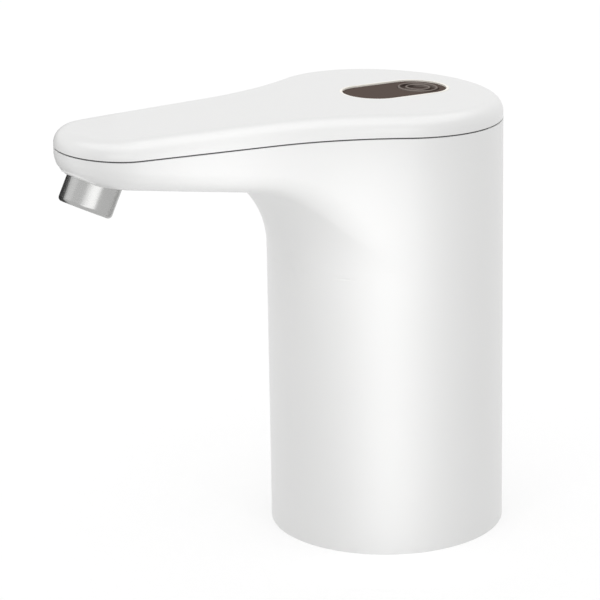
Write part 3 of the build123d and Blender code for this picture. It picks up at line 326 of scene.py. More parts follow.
class PieceGraph(NodeGraph):
    """A geometry tree with named inputs, which makes plain meshes from points."""

    def __init__(self, name: str, *lengths: str) -> None:
        """Start a tree that takes points, lengths and a finish and gives a mesh.

        Args:
            name: Name of the tree.
            lengths: Names of the lengths.
        """
        tree = bpy.data.node_groups.new(name, "GeometryNodeTree")
        tree.interface.new_socket("Piece", in_out="OUTPUT", socket_type="NodeSocketGeometry")
        kinds = {"Points": "Geometry", **dict.fromkeys(lengths, "Float"), "Finish": "Material"}
        for entry, kind in kinds.items():
            tree.interface.new_socket(entry, in_out="INPUT", socket_type=f"NodeSocket{kind}")
        super().__init__(tree, "NodeGroupOutput")
        self.inputs = self.node("NodeGroupInput").outputs
        self.lengths = {length: Signal(self, self.inputs[length]) for length in lengths}

    def vector(self, x: Signal | float, y: Signal | float, z: Signal | float) -> Node:
        """Return a vector of three numbers."""
        return self.node("ShaderNodeCombineXYZ", {0: x, 1: y, 2: z})

    def moved(self, shape: Node, x: Signal | float, z: Signal) -> Node:
        """Return a shape moved along X and Z.

        Args:
            shape: The shape to move.
            x: Way along X.
            z: Way along Z.

        Returns:
            The moved shape.
        """
        way = self.vector(x, 0.0, z)
        return self.node("GeometryNodeTransform", {"Geometry": shape, "Translation": way})

    def wire(self, path: Node, radius: Signal, sides: int) -> Node:
        """Return a closed wire along a curve.

        Args:
            path: The curve.
            radius: Half thickness of the wire.
            sides: How many sides it has.

        Returns:
            The wire.
        """
        circle = {"Resolution": sides, "Radius": radius}
        section = self.node("GeometryNodeCurvePrimitiveCircle", circle)
        pull = {"Curve": path, "Profile Curve": section, "Fill Caps": True}
        return self.node("GeometryNodeCurveToMesh", pull)

    def repeat(self, unit: Node) -> None:
        """Repeat the unit at every point, in the point's turn, and give the whole its finish.

        Args:
            unit: The shape that is repeated.
        """
        kind = "GeometryNodeInputNamedAttribute"
        turn = self.node(kind, {"Name": "turn"}, data_type="FLOAT_VECTOR")
        source = {"Points": self.inputs["Points"], "Instance": unit, "Rotation": turn}
        copies = self.node("GeometryNodeInstanceOnPoints", source)
        plain = self.node("GeometryNodeRealizeInstances", {0: copies})
        dress = {"Geometry": plain, "Material": self.inputs["Finish"]}
        self.close(self.node("GeometryNodeSetMaterial", dress))

    def make(self, name: str, copies: list[Copy], sizes: list[float], finish: Material) -> Object:
        """Run the tree over some points and keep the plain mesh that comes out.

        Args:
            name: Name of the new piece.
            copies: Spot in millimetres and turn in radians of each copy.
            sizes: The tree's lengths in their order, in millimetres.
            finish: The piece's material.

        Returns:
            The piece's object, with no modifier left.
        """
        spots = [tuple(c * MM for c in spot) for spot, _ in copies]
        dots = raw_mesh(f"{name}_points", spots, [])
        turns = [angle for _, turn in copies for angle in turn]
        dots.attributes.new("turn", "FLOAT_VECTOR", "POINT").data.foreach_set("vector", turns)
        source = place(dots.name, dots)
        modifier = source.modifiers.new("recipe", "NODES")
        modifier.node_group = self.tree
        values = {length: size * MM for length, size in zip(self.lengths, sizes)}
        values["Finish"] = finish
        for item in self.tree.interface.items_tree:
            if item.name in values:
                modifier[item.identifier] = values[item.name]
        evaluated = source.evaluated_get(bpy.context.evaluated_depsgraph_get())
        mesh = bpy.data.meshes.new_from_object(evaluated)
        source.modifiers.remove(modifier)
        bpy.data.objects.remove(source)
        mesh.name = name
        soften(mesh)
        return place(name, mesh)


class Grain(Enum):
    """Direction in which a metal was drawn, turned or ground."""

    UPRIGHT = (1.0, 1.0, 40.0)
    LEVEL = (30.0, 30.0, 1.0)
    EVEN = (1.0, 1.0, 1.0)


@dataclass(frozen=True)
class Finish:
    """What all finishes have: a name, a colour and the inputs of a Principled shader."""

    name: str
    colour: Colour

    def scaled(self, factor: float) -> Colour:
        """Return the colour made lighter or darker.

        Args:
            factor: Number that each part of the colour is multiplied by, up to full white.

        Returns:
            The new colour.
        """
        return tuple(min(1.0, part * factor) for part in self.colour)

    def values(self, graph: ShaderGraph) -> Values:
        """Return what goes into the Principled shader.

        Args:
            graph: The material's node tree.

        Returns:
            The shader's inputs by name.
        """
        raise NotImplementedError

    def build(self) -> Material:
        """Return the material, with one Principled shader at its end."""
        graph = ShaderGraph(self.name)
        graph.close(graph.node("ShaderNodeBsdfPrincipled", self.values(graph)))
        return graph.material


@dataclass(frozen=True)
class Moulded(Finish):
    """A moulded plastic or rubber: even colour with faint flow marks and a fine skin."""

    roughness: float = 0.4
    flow: float = 0.015
    skin_mm: float = 0.004
    skin_pitch: float = 0.35
    coat: float = 0.0
    specular: float = 0.5
    flow_pitch: float = 22.0
    flow_gloss: float = 0.1
    coat_roughness: float = 0.12

    def values(self, graph: ShaderGraph) -> Values:
        """Return what goes into the shader's inputs."""
        flow = graph.noise(self.flow_pitch, detail=1.0) - 0.5
        skin = graph.noise(self.skin_pitch, detail=2.0)
        dark, light = self.scaled(1 - 2 * self.flow), self.scaled(1 + 2 * self.flow)
        return {
            "Base Color": graph.mix(flow + 0.5, dark, light),
            "Roughness": flow * self.flow_gloss + self.roughness,
            "Normal": graph.bump(skin, self.skin_mm),
            "Coat Weight": self.coat,
            "Coat Roughness": self.coat_roughness,
            "Specular IOR Level": self.specular,
        }


@dataclass(frozen=True)
class Metal(Finish):
    """A bare or plated metal with drawn lines and slight tarnish."""

    roughness: float = 0.3
    grain: Grain = Grain.EVEN
    line_pitch: float = 0.12
    line_depth: float = 0.002
    tarnish: float = 0.1
    cloud_pitch: float = 6.0
    line_gloss: float = 0.12
    cloud_gloss: float = 0.08

    def values(self, graph: ShaderGraph) -> Values:
        """Return what goes into the shader's inputs."""
        lines = graph.noise(self.line_pitch, detail=3.0, stretch=self.grain.value)
        cloud = graph.noise(self.cloud_pitch, detail=3.0)
        uneven = (lines - 0.5) * self.line_gloss + (cloud - 0.5) * self.cloud_gloss
        return {
            "Base Color": graph.mix(cloud, self.colour, self.scaled(1 - self.tarnish)),
            "Metallic": 1.0,
            "Roughness": uneven + self.roughness,
            "Normal": graph.bump(lines, self.line_depth),
        }


@dataclass(frozen=True)
class Clear(Finish):
    """A clear or milky soft plastic, seen through but clouded."""

    roughness: float
    cloud: float
    streak_pitch: float = 3.0
    streak_length: float = 8.0
    streak_shade: float = 0.93
    streak_share: float = 0.1
    streak_depth: float = 0.01

    def values(self, graph: ShaderGraph) -> Values:
        """Return what goes into the shader's inputs."""
        streak = graph.noise(self.streak_pitch, detail=2.0, stretch=(1, 1, self.streak_length))
        return {
            "Base Color": graph.mix(streak, self.colour, self.scaled(self.streak_shade)),
            "Roughness": streak * self.streak_share + self.roughness,
            "Alpha": streak * self.streak_share + self.cloud,
            "Normal": graph.bump(streak, self.streak_depth),
        }


@dataclass(frozen=True)
class Ringed(Finish):
    """A dark button whose two raised rings carry a painted highlight: their crests are painted
    lighter than the rest.
    """

    # painted highlight: the lighter colour painted on the ring crests
    painted_highlight: Colour
    roughness: float = 0.4
    highlight_noise_pitch: float = 3.0
    highlight_noise_share: float = 0.2
    crest_share: float = 0.45
    skin_pitch: float = 0.3
    skin_mm: float = 0.0005
    skin_gloss: float = 0.05

    def values(self, graph: ShaderGraph) -> Values:
        """Return what goes into the shader's inputs."""
        x, y, _ = graph.axes((BUTTON_X, 0.0, 0.0))
        radius = (x * x + y * y).root()
        # painted highlight on the ring crests, with soft random variation in its strength
        crest = graph.noise(self.highlight_noise_pitch, detail=1.0) * self.highlight_noise_share - self.highlight_noise_share / 2
        for inner, outer in BUTTON_RINGS:
            middle, half = (inner + outer) / 2, (outer - inner) / 2
            nearness = 1.0 - (radius - middle).size() / half
            crest = crest + nearness.share(0.0, self.crest_share)
        skin = graph.noise(self.skin_pitch, detail=2.0)
        return {
            "Base Color": graph.mix(crest, self.colour, self.painted_highlight),
            "Roughness": skin * self.skin_gloss + self.roughness,
            "Normal": graph.bump(skin, self.skin_mm),
            "Specular IOR Level": 0.0,
        }


# Moulded: name, colour, roughness, flow, skin depth, skin pitch
# Metal: name, colour, roughness, grain, line pitch, line depth, tarnish
FINISHES: tuple[Finish, ...] = (
    Moulded("white_plastic", (0.80, 0.80, 0.795), 0.36, 0.004, 0.0008, 0.5),
    Moulded("grey_rubber", (0.09, 0.09, 0.093), 0.7, specular=0.2),
    Moulded("pale_plastic", (0.95, 0.92, 0.85), 0.35),
    Moulded("dark_gloss", (0.114, 0.088, 0.077), 0.3, skin_mm=0.0005, specular=0.0),
    # dark_button: its last colour is the painted highlight on the ring crests
    Ringed("dark_button", (0.088, 0.068, 0.060), (0.25, 0.215, 0.195)),
    Clear("clear_plastic", (0.86, 0.88, 0.88), 0.15, 0.4),
    Metal("polished_steel", (0.43, 0.43, 0.425), 0.27, Grain.LEVEL, 0.12, 0.0004, 0.04),
    Metal("spring_steel", (0.42, 0.42, 0.43), 0.34, Grain.LEVEL),
    Moulded("natural_plastic", (0.72, 0.70, 0.65), 0.45, 0.02),
    Moulded("black_rubber", (0.03, 0.03, 0.03), 0.75, 0.05, 0.01),
    Moulded("grey_plastic", (0.42, 0.42, 0.43), 0.4, 0.02),
    Clear("clear_silicone", (0.84, 0.87, 0.86), 0.3, 0.45),
    Moulded("soft_white", (0.76, 0.76, 0.75), 0.55, 0.01, 0.006),
    Metal("screw_steel", (0.55, 0.55, 0.56), 0.35, tarnish=0.15),
    Moulded("pump_plastic", (0.62, 0.60, 0.55), 0.45, 0.02),
    Moulded("soft_valve", (0.62, 0.57, 0.45), 0.6, 0.03),
    Moulded("gear_plastic", (0.78, 0.76, 0.70), 0.4, 0.015),
    Metal("zinc_steel", (0.60, 0.61, 0.62), 0.36, Grain.UPRIGHT, tarnish=0.12),
    Moulded("magnet_grey", (0.10, 0.10, 0.11), 0.6, 0.08, 0.01),
    Metal("rotor_steel", (0.45, 0.43, 0.40), 0.4, Grain.LEVEL, 0.5, 0.05),
    Moulded("dark_plastic", (0.045, 0.045, 0.05), 0.5, 0.03),
    Metal("brass_strip", (0.72, 0.52, 0.22), 0.3, tarnish=0.2),
    Metal("coil_copper", (0.62, 0.27, 0.12), 0.28, line_depth=0.0005),
    Moulded("red_lead", (0.55, 0.04, 0.03), 0.42, 0.02),
    Moulded("cell_wrap", (0.10, 0.26, 0.47), 0.3, 0.02, coat=0.3),
    Metal("nickel_strip", (0.62, 0.60, 0.56), 0.3, Grain.UPRIGHT),
    Moulded("board_green", (0.02, 0.16, 0.07), 0.35, 0.05, coat=0.4),
    Moulded("chip_black", (0.025, 0.025, 0.027), 0.5, 0.04, 0.006),
    Moulded("lamp_white", (0.85, 0.84, 0.76), 0.25),
)


@dataclass(frozen=True)
class Camera:
    """The camera that took the photograph, worked out from the object's outlines."""

    azimuth: float = radians(143.819)
    elevation: float = radians(17.941)
    roll: float = radians(-0.957)
    focal_px: float = 3154.646
    frame_px: float = 600.0
    sensor_mm: float = 36.0
    distance: float = 984.425 * MM
    centre_px: Spot = (385.32, 331.57)
    target: Point = (0.0, 0.0, 60 * MM)

    def build(self) -> Object:
        """Place the camera and make it the scene's own.

        Returns:
            The camera's object.
        """
        a, e = self.azimuth, self.elevation
        back = Vector((sin(a) * cos(e), -cos(a) * cos(e), sin(e)))
        right = Vector((cos(a), sin(a), 0.0))
        up = back.cross(right)
        side = right * cos(self.roll) + up * sin(self.roll)
        top = up * cos(self.roll) - right * sin(self.roll)
        half = self.frame_px / 2
        offset = [(c - half) / self.focal_px * self.distance for c in self.centre_px]
        data = bpy.data.cameras.new("camera")
        data.sensor_width = self.sensor_mm
        data.lens = self.focal_px / self.frame_px * data.sensor_width
        made = place("camera", data)
        spot = Vector(self.target) - side * offset[0] + top * offset[1] + back * self.distance
        turn = Matrix((side, top, back)).transposed().to_4x4()
        made.matrix_world = Matrix.Translation(spot) @ turn
        bpy.context.scene.camera = made
        return made


@dataclass(frozen=True)
class Lamp:
    """One soft box lamp, which neither the camera nor polished surfaces see, in metres."""

    name: str
    spot: Point
    target: Point
    width: float
    height: float
    watts: float

    def hang(self) -> None:
        """Hang the lamp in its spot, pointing at its target."""
        data = bpy.data.lights.new(self.name, "AREA")
        data.shape = "RECTANGLE"
        data.size = self.width
        data.size_y = self.height
        data.energy = self.watts
        made = place(self.name, data)
        made.location = self.spot
        aim = Vector(self.target) - Vector(self.spot)
        made.rotation_euler = aim.to_track_quat("-Z", "Y").to_euler()
        made.visible_camera = False
        made.visible_glossy = False


@dataclass(frozen=True)
class Screen:
    """An upright screen, white or black, that only polished surfaces show, in metres."""

    name: str
    bearing: float
    width: float
    low: float
    high: float
    level: float
    reach: float = 1.2
    top_reach: float = 1.2
    centre: Spot = (0.0, 0.0)
    steps: int = 16

    def stand(self, towards_camera: float) -> None:
        """Stand the screen round the object.

        Args:
            towards_camera: Bearing of the camera in radians, from which the screen's is counted.
        """
        first = towards_camera + radians(self.bearing - self.width / 2)
        points = []
        for step in range(self.steps + 1):
            angle = first + radians(self.width) * step / self.steps
            for reach, height in ((self.reach, self.low), (self.top_reach, self.high)):
                x, y = self.centre[0] + reach * cos(angle), self.centre[1] + reach * sin(angle)
                points.append((x, y, height))
        faces = [(2 * i, 2 * i + 2, 2 * i + 3, 2 * i + 1) for i in range(self.steps)]
        mesh = raw_mesh(self.name, points, faces)
        made = place(self.name, mesh)
        graph = ShaderGraph(self.name)
        glow = {"Color": (1.0, 1.0, 1.0), "Strength": self.level}
        graph.close(graph.node("ShaderNodeEmission", glow))
        mesh.materials.append(graph.material)
        for sight in ("camera", "diffuse", "transmission", "volume_scatter", "shadow"):
            setattr(made, f"visible_{sight}", False)


@dataclass(frozen=True)
class Studio:
    """Pale floor, white surroundings, soft lamps and the screens that metal reflects."""

    floor_size: float = 6.0
    white: Colour = (1.0, 1.0, 1.0)
    world_level: float = 1.0
    floor_level: float = 1.03
    floor_grey: float = 0.70
    shadow_share: float = 0.5
    # name, spot, target, width, height, watts
    lamps: tuple[Lamp, ...] = (
        Lamp("tube_strip", (0.0366, 0.050, 0.062), (0, 0, 0.062), 0.012, 0.13, 0.0064),
        Lamp("spout_strip", (0.078, 0.060, 0.121), (0.078, 0, 0.118), 0.034, 0.02, 0.0068),
        Lamp("tip_strip", (0.168, -0.010, 0.120), (0.112, 0, 0.124), 0.03, 0.015, 0.0026),
    )
    # name, bearing and width in degrees, low, high, level, reach, top reach, centre
    screens: tuple[Screen, ...] = (
        Screen("front_card", 8, 54, 0.0, 0.5, 2.4),
        Screen("side_card", -86, 44, 0.3, 0.8, 1.3),
        Screen("overhead_card", 25, 250, 0.9, 1.5, 2.7, 1.0, 0.1),
        Screen("dark_card", -141, 86, 0.070, 0.146, 0.05, 0.064, 0.064, (0.109, 0.0)),
    )

    def floor(self) -> None:
        """Lay the floor, shown white but shaded where the object stands."""
        half = self.floor_size / 2
        corners = [(-half, -half, 0), (half, -half, 0), (half, half, 0), (-half, half, 0)]
        mesh = raw_mesh("floor", corners, [(0, 1, 2, 3)])
        made = place("floor", mesh)
        graph = ShaderGraph("floor_white")
        path = graph.node("ShaderNodeLightPath")
        seen = Signal(graph, path.outputs["Is Camera Ray"])
        for kind in ("Glossy", "Transmission"):
            seen = seen.most(Signal(graph, path.outputs[f"Is {kind} Ray"]))
        bounce = graph.node("ShaderNodeBsdfDiffuse", {"Color": (self.floor_grey,) * 3})
        lit = graph.node("ShaderNodeBsdfDiffuse", {"Color": self.white})
        light = {"Color": self.white, "Strength": self.floor_level}
        glow = graph.node("ShaderNodeEmission", light)
        shown = graph.node("ShaderNodeMixShader", {0: self.shadow_share, 1: glow, 2: lit})
        graph.close(graph.node("ShaderNodeMixShader", {0: seen, 1: bounce, 2: shown}))
        mesh.materials.append(graph.material)

    def world(self) -> None:
        """Give the scene an even white surround."""
        world = bpy.data.worlds.new("white_room")
        bpy.context.scene.world = world
        world.use_nodes = True
        graph = NodeGraph(world.node_tree, "ShaderNodeOutputWorld")
        light = {"Color": self.white, "Strength": self.world_level}
        graph.close(graph.node("ShaderNodeBackground", light))

    def build(self, camera: Object) -> None:
        """Set up the floor, surround, lamps and screens.

        Args:
            camera: The camera, whose side the screens are counted from.
        """
        self.floor()
        self.world()
        for lamp in self.lamps:
            lamp.hang()
        eye = camera.matrix_world.translation
        for screen in self.screens:
            screen.stand(atan2(eye.y, eye.x))


class Parts:
    """Points and faces of one piece, collected part by part."""

    def __init__(self) -> None:
        """Start with nothing."""
        self.points: list[Point] = []
        self.faces: list[Face] = []

    def add(self, points: list[Point], faces: list[Face]) -> None:
        """Add a part.

        Args:
            points: Its corner points.
            faces: Its faces, as numbers of its own points.
        """
        first = len(self.points)
        self.points += points
        self.faces += [tuple(first + number for number in face) for face in faces]

    def add_prism(self, outline: list[Spot], low: float, high: float) -> None:
        """Add a closed upright prism about the motor's axis.

        Args:
            outline: Corner points seen along the axis, counted from it.
            low: Height of the lower end.
            high: Height of the upper end.
        """
        count = len(outline)
        points = [(PUMP_AXIS_X + x, y, z) for z in (low, high) for x, y in outline]
        sides = [(i, (i + 1) % count, (i + 1) % count + count, i + count) for i in range(count)]
        ends = [tuple(range(count))[::-1], tuple(range(count, 2 * count))]
        self.add(points, sides + ends)


class Workshop:
    """Holds the frame and the finishes that all sub-assemblies share."""

    weld = 1e-7

    def __init__(self, frame: dict) -> None:
        """Build one material for each finish.
        """
        self.frame = frame
        self.finishes = {finish.name: finish.build() for finish in FINISHES}
        subparts = frame["record"]["subparts"]
        self.slots = {entry["node"]: entry["material_slot"] for entry in subparts}

    def dress(self, node: str) -> None:
        """Give a carried-over solid the finish of its slot.

        Args:
            node: The solid's name.
        """
        made = self.frame["nodes"][node]
        finish = self.finishes[self.slots[node]]
        if not made.material_slots:
            made.data.materials.append(finish)
        for entry in made.material_slots:
            entry.material = finish
        LOG.info("dressed %s in %s", node, finish.name)

    def fit(self, piece: Object, body: str, slot: str, stands_for: str | None = None) -> None:
        """Let a new piece ride on a body, and take the place of a solid if it stands for one.

        Args:
            piece: The new piece.
            body: Body that it moves with.
            slot: The record's slot of its finish; not used.
            stands_for: The carried-over solid that it replaces.
        """
        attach(piece, body)
        if stands_for:
            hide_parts(stands_for)
        LOG.info("built %s with %d faces", piece.name, len(piece.data.polygons))

    def mesh(self, name: str, parts: Parts, finish: str) -> Object:
        """Make a piece.

        Args:
            name: The piece's name.
            parts: Its points, in millimetres, and faces.
            finish: Name of its finish.

        Returns:
            The piece's object, its faces turned outwards.
        """
        points = [tuple(c * MM for c in point) for point in parts.points]
        mesh = raw_mesh(name, points, parts.faces)
        shape = bmesh.new()
        shape.from_mesh(mesh)
        bmesh.ops.remove_doubles(shape, verts=shape.verts, dist=self.weld)
        bmesh.ops.recalc_face_normals(shape, faces=shape.faces)
        shape.to_mesh(mesh)
        shape.free()
        soften(mesh)
        mesh.materials.append(self.finishes[finish])
        return place(name, mesh)


@dataclass
class SubAssembly:
    """Some of the pump's pieces that are dressed and finished together."""

    workshop: Workshop
    nodes: tuple[str, ...] = ()

    def build(self) -> None:
        """Dress the solids and add the fine pieces."""
        for node in self.nodes:
            self.workshop.dress(node)
        self.add_pieces()

    def add_pieces(self) -> None:
        """Add nothing, unless a sub-assembly has fine pieces of its own."""


@dataclass
class Housing(SubAssembly):
    """Tube, shell, lid, seam, base plate, collar and the flap over the charging port."""

    nodes: tuple[str, ...] = (
        "body_shell", "body_tube", "top_cover", "seam_gasket", "base_plate", "neck_collar",
        "port_plug", "upper_deck",
    )


@dataclass
class ControlPanel(SubAssembly):
    """Panel, rim, button with its two rings, switch, lamps and light guide."""

    nodes: tuple[str, ...] = (
        "control_panel", "panel_bezel", "power_button", "button_switch", "switch_plunger",
        "indicator_leds", "light_guide",
    )
    crest: tuple[Spot, ...] = (
        (-1.0, 0.0), (-0.75, 0.62), (-0.35, 0.93), (0.0, 1.0), (0.35, 0.93), (0.75, 0.62),
        (1.0, 0.0),
    )
    ring_half_width: float = 0.36
    ring_rise: float = 0.16
    button_top: float = 6.4
    seam_height: float = 130.7
    seam_angle: float = radians(3.2)
    steps: int = 72

    def on_lid(self, along: float, across: float, above: float) -> Point:
        """Return the point at a place on the tilted lid, in millimetres.

        Args:
            along: Distance up the slope from the tube's axis.
            across: Distance to the side.
            above: Distance over the seam plane.

        Returns:
            The point in the pump's frame.
        """
        slope, rise = cos(self.seam_angle), sin(self.seam_angle)
        height = self.seam_height + along * rise + above * slope
        return (along * slope - above * rise, across, height)

    def add_pieces(self) -> None:
        """Round the crests of the button's two raised rings."""
        rings = Parts()
        size = len(self.crest)
        for inner, outer in BUTTON_RINGS:
            points, faces = [], []
            for step in range(self.steps):
                angle = tau * step / self.steps
                here, there = step * size, (step + 1) % self.steps * size
                for i, (out, up) in enumerate(self.crest):
                    radius = (inner + outer) / 2 + out * self.ring_half_width
                    along = BUTTON_X + radius * cos(angle)
                    above = self.button_top + up * self.ring_rise
                    points.append(self.on_lid(along, radius * sin(angle), above))
                    j = (i + 1) % size
                    faces.append((here + i, there + i, there + j, here + j))
            rings.add(points, faces)
        made = self.workshop.mesh("button_rings", rings, "dark_button")
        self.workshop.fit(made, "button", "dark_button")


@dataclass
class Spout(SubAssembly):
    """Nozzle, flow straightener and what holds the nozzle in the spout's floor."""

    nodes: tuple[str, ...] = (
        "nozzle", "flow_straightener", "nozzle_o_ring", "nozzle_clip", "nozzle_elbow",
    )


@dataclass
class Pump(SubAssembly):
    """Pump head, valves, diaphragm, swing plate and the soft tubes."""

    nodes: tuple[str, ...] = (
        "pump_cover", "valve_plate", "valve_flaps", "diaphragm", "pump_housing", "pump_feet",
        "wobble_plate", "wobble_pin", "drive_cam", "intake_tube", "outlet_tube", "tube_clips",
        "pump_bracket", "deck_spacers",
    )
    cup_ring: float = 7.0
    cup_reach: float = 4.6
    cups: int = 3
    margin: float = 0.15
    weld: float = 1e-6
    flange_skin: float = 1e-5

    def add_pieces(self) -> None:
        """Draw every soft cup at the low end of its stroke, so that no arm cuts into it."""
        mesh = self.workshop.frame["nodes"]["diaphragm"].data.copy()
        mesh.name = "soft_diaphragm"
        shape = bmesh.new()
        shape.from_mesh(mesh)
        bmesh.ops.remove_doubles(shape, verts=shape.verts, dist=self.weld)
        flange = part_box("pump_housing")[0].z
        raised = [point for point in shape.verts if point.co.z > flange + self.flange_skin]
        groups = []
        for cup in range(self.cups):
            angle = tau * cup / self.cups
            x = (PUMP_AXIS_X + self.cup_ring * cos(angle)) * MM
            y = self.cup_ring * sin(angle) * MM
            reach = (self.cup_reach * MM) ** 2
            groups.append([v for v in raised if (v.co.x - x) ** 2 + (v.co.y - y) ** 2 < reach])
        tops = [max(point.co.z for point in group) for group in groups]
        low = min(tops) - self.margin * MM
        for group, top in zip(groups, tops):
            for point in group:
                point.co.z = flange + (point.co.z - flange) * (low - flange) / (top - flange)
        shape.to_mesh(mesh)
        shape.free()
        made = place("soft_diaphragm", mesh)
        self.workshop.fit(made, "pump_body", self.workshop.slots["diaphragm"], "diaphragm")


@dataclass
class Motor(SubAssembly):
    """Motor with a laminated armature, three coils and a commutator in three parts."""

    nodes: tuple[str, ...] = (
        "motor_can", "motor_magnets", "motor_end_cap", "motor_terminals", "motor_sleeve",
    )
    poles: int = 3
    stack: Spot = (86.0, 102.0)
    shaft: Spot = (76.2, 111.6)
    shaft_radius: float = 1.0
    shaft_steps: int = 24
    core_radius: float = 3.4
    neck_half: float = 1.5
    neck_round: float = 0.3
    shoe_inner: float = 8.1
    shoe_outer: float = 9.6
    shoe_flare: float = 1.2
    shoe_tip: float = 0.95
    shoe_half_angle: float = radians(52)
    shoe_steps: int = 8
    segment_high: float = 106.5
    segment_inner: float = 1.7
    segment_outer: float = 2.5
    segment_gap: float = 0.3
    segment_gap_angle: float = radians(5)
    segment_steps: int = 10
    wire_radius: float = 0.2
    wire_sides: int = 6
    coil_start: float = 4.4
    coil_turns: int = 9
    coil_layers: int = 3
    layer_rise: float = 0.87
    corner_radius: float = 0.3
    corner_steps: int = 5

    def pole_outline(self) -> list[Spot]:
        """Return the outline of the three-poled sheet of which the armature is stacked."""
        tip, root = self.shoe_half_angle, self.neck_half + self.shoe_flare
        angles = [tip * step / self.shoe_steps for step in range(self.shoe_steps + 1)]
        side = [(self.shoe_outer * cos(angle), self.shoe_outer * sin(angle)) for angle in angles]
        inner = self.shoe_outer * self.shoe_tip
        side.append((inner * cos(tip), inner * sin(tip)))
        side.append((self.shoe_inner, root))
        side.append((self.shoe_inner - self.neck_round, self.neck_half))
        side.append((sqrt(self.core_radius**2 - self.neck_half**2), self.neck_half))
        pole = [(x, -y) for x, y in side[::-1]] + side[1:]
        outline = []
        for number in range(self.poles):
            turn = tau * number / self.poles
            for x, y in pole:
                outline.append((x * cos(turn) - y * sin(turn), x * sin(turn) + y * cos(turn)))
        return outline

    def armature(self) -> Object:
        """Return the stacked sheets and the shaft in one piece."""
        parts = Parts()
        parts.add_prism(self.pole_outline(), *self.stack)
        angles = [tau * step / self.shaft_steps for step in range(self.shaft_steps)]
        circle = [(self.shaft_radius * cos(a), self.shaft_radius * sin(a)) for a in angles]
        parts.add_prism(circle, self.shaft[0], self.stack[0])
        parts.add_prism(circle, self.stack[1], self.shaft[1])
        return self.workshop.mesh("armature", parts, "rotor_steel")

    def commutator(self) -> Object:
        """Return the commutator's segments, parted by narrow gaps."""
        parts = Parts()
        half = pi / self.poles - self.segment_gap_angle
        steps = self.segment_steps
        for pole in range(self.poles):
            middle = tau * (pole + 0.5) / self.poles
            angles = [middle - half + 2 * half * step / steps for step in range(steps + 1)]
            arcs = ((self.segment_outer, angles), (self.segment_inner, angles[::-1]))
            outline = [(radius * cos(a), radius * sin(a)) for radius, arc in arcs for a in arc]
            parts.add_prism(outline, self.stack[1] + self.segment_gap, self.segment_high)
        return self.workshop.mesh("commutator", parts, "brass_strip")

    def coil_recipe(self) -> PieceGraph:
        """Return the tree that makes one turn of wire, with rounded corners, at each point."""
        graph = PieceGraph("coil_turns", "Wire Radius", "Width", "Height", "Corner")
        wire, width, height, corner = graph.lengths.values()
        size = {"Width": width, "Height": height}
        frame = graph.node("GeometryNodeCurvePrimitiveQuadrilateral", size)
        rounding = {"Curve": frame, "Radius": corner, "Count": self.corner_steps}
        bend = graph.node("GeometryNodeFilletCurve", rounding, mode="POLY")
        flat = graph.wire(bend, wire, self.wire_sides)
        upright = {"Geometry": flat, "Rotation": (pi / 2, 0.0, pi / 2)}
        graph.repeat(graph.node("GeometryNodeTransform", upright))
        return graph

    def coils(self) -> list[Object]:
        """Return the layers of the coils, wound turn beside turn round the poles' necks."""
        graph = self.coil_recipe()
        copper = self.workshop.finishes["coil_copper"]
        low, high = self.stack
        thickness = 2 * self.wire_radius
        pieces = []
        for layer in range(self.coil_layers):
            copies = []
            for pole in range(self.poles):
                angle = tau * pole / self.poles
                for turn in range(self.coil_turns - layer):
                    reach = self.coil_start + (turn + layer / 2) * thickness
                    x, y = PUMP_AXIS_X + reach * cos(angle), reach * sin(angle)
                    copies.append(((x, y, (low + high) / 2), (0.0, 0.0, angle)))
            out = self.wire_radius + layer * thickness * self.layer_rise
            width, height = 2 * (self.neck_half + out), high - low + 2 * out
            sizes = [self.wire_radius, width, height, self.corner_radius + out]
            pieces.append(graph.make(f"coil_layer_{layer + 1}", copies, sizes, copper))
        return pieces

    def add_pieces(self) -> None:
        """Build the rotor's fine parts, which turn with its shaft."""
        self.workshop.fit(self.armature(), "rotor", "rotor_steel", "motor_rotor")
        self.workshop.fit(self.commutator(), "rotor", "brass_strip")
        for layer in self.coils():
            self.workshop.fit(layer, "rotor", "brass_strip")


@dataclass
class Power(SubAssembly):
    """Battery cell, its contacts and pads, the leads and the charging port."""

    nodes: tuple[str, ...] = (
        "battery_cell", "cell_contacts", "cell_pads", "battery_leads", "motor_leads",
        "charging_port", "port_tongue",
    )


@dataclass(frozen=True)
class Chip:
    """Middle and half sizes of one chip on the board, and its legs on each side."""

    x: float
    y: float
    half_x: float
    half_y: float
    legs: int


